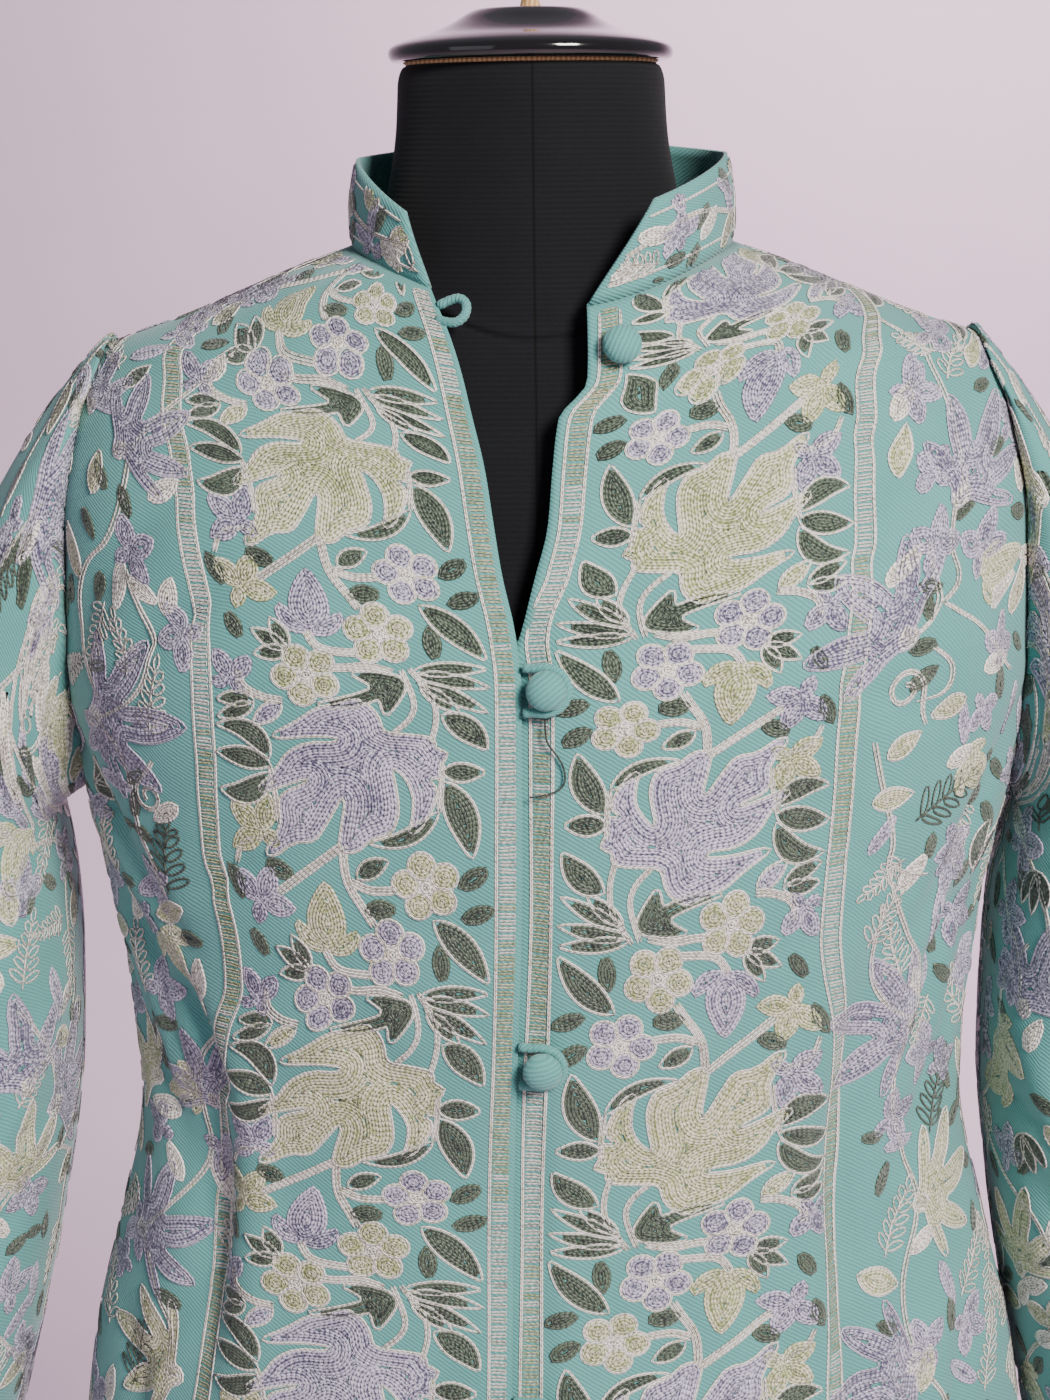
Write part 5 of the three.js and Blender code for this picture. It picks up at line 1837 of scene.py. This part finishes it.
def loop_path(level, x, fastened):
    """The first loop stands open at the edge. The others go round their buttons."""
    if not fastened:
        path = [[-1, 2.3, -1.2], [3.4, 4.6, -0.8], [7.6, 5.4, 0], [10.6, 3.2, 0.4], [11.4, 0, 0.5],
                [10.6, -3.4, 0.4], [7.6, -5.8, 0], [3.4, -5.2, -0.7], [-1, -3.6, -1.2]]  # fmt: skip
        return in_frame(cloth_frame(EDGES("right", OPEN_LOOP_LEVEL), OPEN_LOOP_LEVEL), smooth_line(path, 3))
    edge = float(EDGES("right", level)) - x + 0.8
    path = [[edge, 8.8, 0.6], [-5, 8.4, 1.6], [0, 9.2, 2.3], [6.2, 6.8, 2.4], [9.2, 0, 2.4], [6.2, -6.8, 2.4],
            [0, -9.2, 2.3], [-5, -8.4, 1.6], [edge, -8.8, 0.6]]  # fmt: skip
    return in_frame(cloth_frame(x, level), smooth_line(path, 3))


def loose_thread_path(level, x):
    """A loose end of moss thread that hangs from under the second button and curls on the band."""
    way = [[-0.6, -8], [-0.6, -16], [0, -22], [4.4, -27.7], [7, -33.5], [7, -39.3], [3.5, -42.8],
           [-4.4, -44.6], [-6.8, -44.4]]  # fmt: skip
    lifts = [1.2, 2, 2.4, 2, 1.6, 2, 1.6, 1.9, 2.6]
    points = [in_frame(cloth_frame(x + a, level + b), [[0, 0, lift]])[0] for (a, b), lift in zip(way, lifts)]
    return smooth_line(points, 3)


def form_rings():
    """Rings of the form from its hips up to the neck's top."""
    levels = np.concatenate(
        [
            np.linspace(FORM_BOTTOM_Z, 1400, 100)[:-1],
            np.linspace(1400, 1422, 18)[:-1],
            np.linspace(1422, NECK_TOP_Z - NECK_TURN, 20)[:-1],
            np.linspace(NECK_TOP_Z - NECK_TURN, NECK_TOP_Z, 9),
        ]
    )
    phi = np.linspace(0, 2 * np.pi, 121)[:-1]
    rings = []
    for level in levels:
        # the seam at the foot of the neck stands up a little
        up = math.exp(-(((level - NECK_RIDGE_LEVEL) / 1.3) ** 2))
        down = math.exp(-(((level - NECK_GROOVE_LEVEL) / 1.2) ** 2))
        ridge = NECK_RIDGE * (up - down)
        # the jersey rises round the cap's rim and turns in beneath the cap
        turned = min(1.0, max(0.0, (level - NECK_TOP_Z) / NECK_TURN + 1))
        ridge -= NECK_TURN_IN * (1 - math.sqrt(1 - turned**2))
        ring = section_point(FORM, phi, np.full(phi.shape, level), ridge)
        ring[:, 2] += NECK_TURN_UP * turned
        rings.append(ring)
    lip = section_point(FORM, phi, np.full(phi.shape, NECK_TOP_Z), NECK_LIP)
    return np.array(rings + [lip])


# Properties, operators and the panel


class CoatLook(bpy.types.PropertyGroup):
    cloth_thickness: bpy.props.FloatProperty(
        name="Cloth thickness", description="Wall of the cloth shells", default=0.0016, min=0.0008, max=0.003,
        subtype="DISTANCE", unit="LENGTH",
    )  # fmt: skip
    stitch_step: bpy.props.FloatProperty(
        name="Stitch step", description="Length of one piece of a stitched row", default=0.0027, min=0.002,
        max=0.006, subtype="DISTANCE", unit="LENGTH",
    )  # fmt: skip
    twill_dark: bpy.props.FloatVectorProperty(
        name="Twill in its grooves", description="Darker tone of the twill", subtype="COLOR_GAMMA", size=3,
        default=(0.19, 0.42, 0.42), min=0, max=1,
    )  # fmt: skip
    twill_light: bpy.props.FloatVectorProperty(
        name="Twill on its ribs", description="Lighter tone of the twill", subtype="COLOR_GAMMA", size=3,
        default=(0.42, 0.7, 0.68), min=0, max=1,
    )  # fmt: skip


def area_of(panel):
    """The area of a grid in square metres."""
    p = panel.loop * MM
    one = np.cross(p[:-1, 1:] - p[:-1, :-1], p[1:, :-1] - p[:-1, :-1])
    two = np.cross(p[1:, :-1] - p[1:, 1:], p[:-1, 1:] - p[1:, 1:])
    return (np.linalg.norm(one, axis=-1).sum() + np.linalg.norm(two, axis=-1).sum()) / 2


def stand_for(obj, node):
    """Hides the solid that a piece replaces, and hangs the piece from the root."""
    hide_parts(node)
    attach(obj, "root")


def add_cloth_piece(name, stitchings):
    """A piece of the coat: its shell, and each set of stitched rows that lies on it."""
    look = bpy.context.scene.coat_look
    shell = add_shell(name + "_cloth", cloth(name), look.cloth_thickness / MM, material("twill"))
    stand_for(shell, name)
    for label, stitching in stitchings:
        obj = stitching.build(f"{name}_{label}", thread_materials())
        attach(obj, "root")
    area = area_of(cloth(name))


def new_stitching(coarse=1.0):
    """coarse lengthens the pieces of the rows where they are seen from farther off."""
    return Stitching(bpy.context.scene.coat_look.stitch_step / MM * coarse)


class COAT_OT_fronts(bpy.types.Operator):
    """Adds both fronts with their big-leaf panels, ladder bands and sides"""

    bl_idname = "coat.fronts"
    bl_label = "Fronts"

    def execute(self, context):
        for name, sign in (("coat_front_right", 1), ("coat_front_left", -1)):
            key = name.split("_")[-1]
            panel = new_stitching()
            for k in range(-5, 6):
                panel.add(pattern_repeat(k % 2 == 0), place_front_pattern(name, PATTERN_REPEAT * k))
            bands = new_stitching()
            edge = (lambda level: EDGES("right", level)) if sign > 0 else left_band_centre
            side_band = lambda level: across_at(name, level, BANDS(key, level))
            edge_band = lambda level: at_x(name, level, edge(level)) - (5.7 if sign > 0 else 0)
            for number, across_of in enumerate((side_band, edge_band)):
                place, length = place_band(name, across_of)
                bands.add(band_rows(3, length - 2, 3 + 2 * number + sign), place)
            sides = new_stitching()
            right = (RIGHT_SIDE_MOTIFS, RIGHT_SIDE_STEMS, 71)
            left = (LEFT_SIDE_MOTIFS, LEFT_SIDE_STEMS, 83)
            lay_side(sides, name, *(right if sign > 0 else left))
            rows = [("panel_rows", panel), ("band_rows", bands), ("side_rows", sides)]
            add_cloth_piece(name, rows)
        return {"FINISHED"}


class COAT_OT_back(bpy.types.Operator):
    """Adds the back with its all-over pattern"""

    bl_idname = "coat.back"
    bl_label = "Back"

    def execute(self, context):
        rows = new_stitching(1.6)
        lay_cells(rows, "coat_back", 152, 158, 60, 66, 11)
        add_cloth_piece("coat_back", [("rows", rows)])
        return {"FINISHED"}


class COAT_OT_sleeves(bpy.types.Operator):
    """Adds both sleeves with their all-over pattern"""

    bl_idname = "coat.sleeves"
    bl_label = "Sleeves"

    def execute(self, context):
        own = {"sleeve_right": (21, RIGHT_SLEEVE_MOTIFS), "sleeve_left": (34, LEFT_SLEEVE_MOTIFS)}
        for name, (seed, motifs) in own.items():
            rows = new_stitching(1.25)
            lay_cells(rows, name, 150, 156, 66, 60, seed, motifs)
            add_cloth_piece(name, [("rows", rows)])
        return {"FINISHED"}


# Small motifs round the collar: motif, share of its length, height, turn, scale
COLLAR_MOTIFS = [
    ["cream_leaf", 0.035, 8, 60, 0.7],
    ["violet_three", 0.075, 16, 0, 0.7],
    ["cream_leaf", 0.115, 10, -40, 0.7],
    ["dark_leaf", 0.16, 22, 20, 0.8],
    ["violet_leaf", 0.19, 10, 30, 0.8],
    ["cream_sprig", 0.24, 6, -20, 0.7],
    ["violet_three", 0.30, 16, 10, 0.8],
    ["edged_leaf", 0.36, 8, 40, 0.8],
    ["cream_leaf", 0.42, 12, -30, 0.8],
    ["violet_three", 0.5, 15, 0, 0.9],
    ["edged_leaf", 0.57, 8, -40, 0.8],
    ["cream_leaf", 0.63, 10, 30, 0.8],
    ["violet_three", 0.7, 16, 0, 0.8],
    ["cream_sprig", 0.76, 6, 20, 0.7],
    ["violet_leaf", 0.81, 9, -20, 0.8],
    ["cream_leaf", 0.85, 8, 10, 0.8],
    ["dark_leaf", 0.89, 16, 60, 0.8],
    ["violet_leaf", 0.925, 8, 10, 0.8],
    ["cream_leaf", 0.96, 7, -20, 0.7],
]


class COAT_OT_collar(bpy.types.Operator):
    """Adds the stand collar with its small motifs and edge rows"""

    bl_idname = "coat.collar"
    bl_label = "Collar"

    def execute(self, context):
        panel = cloth("collar")
        rows = new_stitching()
        columns = panel.loop.shape[1] - 1
        for kind, share, height, turn, scale in COLLAR_MOTIFS:
            place = around("collar", height / COLLAR_HEIGHT * (len(panel.heights) - 1), share * columns)
            rows.add(moved(motif(kind), turn, 0, 0, scale * 1.15), place)
        Field(rows, "collar").scatter(260, 5, 0.62)
        middle = around("collar", 4.5, columns / 2)
        half = (panel.high - panel.low) / 2
        x = np.arange(-half, half, 6.0)
        for height, amp in ((-13.5, 0.4), (0, 5), (12.5, 0.4)):
            line = np.stack([x, height + amp * np.sin(x / 15)], 1)
            rows.add(stem(line, 1 if amp < 1 else 2), middle)
        add_cloth_piece("collar", [("rows", rows)])
        return {"FINISHED"}


class COAT_OT_closures(bpy.types.Operator):
    """Adds the ball buttons and the rolled loops, the first one open"""

    bl_idname = "coat.closures"
    bl_label = "Buttons and loops"

    def execute(self, context):
        for number, level, x, fastened in CLOSURES:
            button = add_button(number, level, x)
            path = loop_path(level, x, fastened)
            loop = add_tube(f"loop_{number}_cloth", path, LOOP_RADIUS, 14, [material("twill")])
            stand_for(button, f"button_{number}")
            stand_for(loop, f"loop_{number}")
        level, x = CLOSURES[1][1:3]
        path = loose_thread_path(level, x)
        thread = add_tube("loose_thread", path, LOOSE_THREAD_RADIUS, 8, [thread_materials()[MOSS]])
        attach(thread, "root")
        return {"FINISHED"}


def lifted(profile, z):
    return [[r, h + z] for r, h in profile]


class COAT_OT_form(bpy.types.Operator):
    """Adds the limbless form, its cap and peg, the pole and the foot"""

    bl_idname = "coat.form"
    bl_label = "Form and stand"

    def execute(self, context):
        jersey, lacquer, beech, steel = [[material(name)] for name in ("jersey", "lacquer", "beech", "steel")]
        cap = lifted(smooth_line(CAP_PROFILE), CAP_SEAT_Z)
        rim = lifted(RIM_PROFILE, CAP_SEAT_Z)
        peg = lifted(smooth_line(PEG_PROFILE), PEG_SEAT_Z)
        base = smooth_line(BASE_PROFILE, 1)
        made = (
            (add_rings("form_body_jersey", form_rings(), jersey), "form_body", "black_jersey"),
            (add_turned("form_cap_lacquer", cap, 120, lacquer), "form_cap", "black_lacquer"),
            (add_turned("form_cap_rim", rim, 120, beech), "form_cap", "turned_wood"),
            (add_turned("form_peg_wood", peg, 40, beech), "form_peg", "turned_wood"),
            (add_turned("stand_pole_steel", POLE_PROFILE, 64, steel), "stand_pole", "black_steel"),
            (add_turned("stand_base_steel", base, 160, steel), "stand_base", "black_steel"),
        )
        for obj, node, slot in made:
            stand_for(obj, node)
        return {"FINISHED"}


class COAT_OT_stage(bpy.types.Operator):
    """Adds the floor that sweeps up behind, the lights, the world and the camera"""

    bl_idname = "coat.stage"
    bl_label = "Stage"

    def execute(self, context):
        scene = context.scene
        r = SWEEP_RADIUS
        curve = [[FLOOR_BACK + r * math.sin(a), r - r * math.cos(a)] for a in np.linspace(0.1, np.pi / 2, 14)]
        profile = [[-FLOOR_HALF, 0], [FLOOR_BACK, 0], *curve, [FLOOR_BACK + r, WALL_TOP]]
        vertices = [[x, y, z] for y, z in profile for x in (-FLOOR_HALF, FLOOR_HALF)]
        faces = [[2 * i, 2 * i + 1, 2 * i + 3, 2 * i + 2] for i in range(len(profile) - 1)]
        floor = add_mesh("floor_sweep", vertices, faces, None, [material("floor")])
        for name, place, aim, size, power, colour in LIGHTS:
            data = bpy.data.lights.new(name, "AREA")
            data.energy, data.size, data.color = power, size, linear(colour)[:3]
            light = bpy.data.objects.new(name, data)
            light.location = place
            light.rotation_euler = (Vector(aim) - Vector(place)).to_track_quat("-Z", "Y").to_euler()
            scene.collection.objects.link(light)
        world = bpy.data.worlds.new("pale_room")
        world.use_nodes = True
        back = world.node_tree.nodes["Background"]
        back.inputs[0].default_value = linear(ROOM_COLOUR)
        back.inputs[1].default_value = ROOM_STRENGTH
        scene.world = world
        data = bpy.data.cameras.new("camera")
        data.lens, data.sensor_fit, data.sensor_height = CAMERA_LENS, "VERTICAL", SENSOR_HEIGHT
        camera = bpy.data.objects.new("camera", data)
        pitch = Matrix.Rotation(math.radians(90 - CAMERA_PITCH_DEG), 4, "X")
        roll = Matrix.Rotation(math.radians(CAMERA_ROLL_DEG), 4, "Z")
        camera.matrix_world = Matrix.Translation(CAMERA_PLACE) @ pitch @ roll
        scene.collection.objects.link(camera)
        scene.camera = camera
        return {"FINISHED"}


class COAT_PT_sidebar(bpy.types.Panel):
    bl_idname = "COAT_PT_sidebar"
    bl_label = "Short coat"
    bl_space_type = "VIEW_3D"
    bl_region_type = "UI"
    bl_category = "Short coat"

    def draw(self, context):
        look = context.scene.coat_look
        for name in ("cloth_thickness", "stitch_step", "twill_dark", "twill_light"):
            self.layout.prop(look, name)
        for name in STEPS:
            self.layout.operator("coat." + name)


STEPS = ("form", "fronts", "back", "sleeves", "collar", "closures", "stage")
CLASSES = (
    CoatLook,
    COAT_OT_fronts,
    COAT_OT_back,
    COAT_OT_sleeves,
    COAT_OT_collar,
    COAT_OT_closures,
    COAT_OT_form,
    COAT_OT_stage,
    COAT_PT_sidebar,
)


def register():
    for cls in CLASSES:
        bpy.utils.register_class(cls)
    bpy.types.Scene.coat_look = bpy.props.PointerProperty(type=CoatLook)


def unregister():
    del bpy.types.Scene.coat_look
    for cls in reversed(CLASSES):
        bpy.utils.unregister_class(cls)


def main():
    register()
    for name in STEPS:
        result = getattr(bpy.ops.coat, name)()
        if result != {"FINISHED"}:
            raise RuntimeError(f"coat.{name} did not finish")
    bpy.context.view_layer.update()


if __name__ == "__main__":
    main()
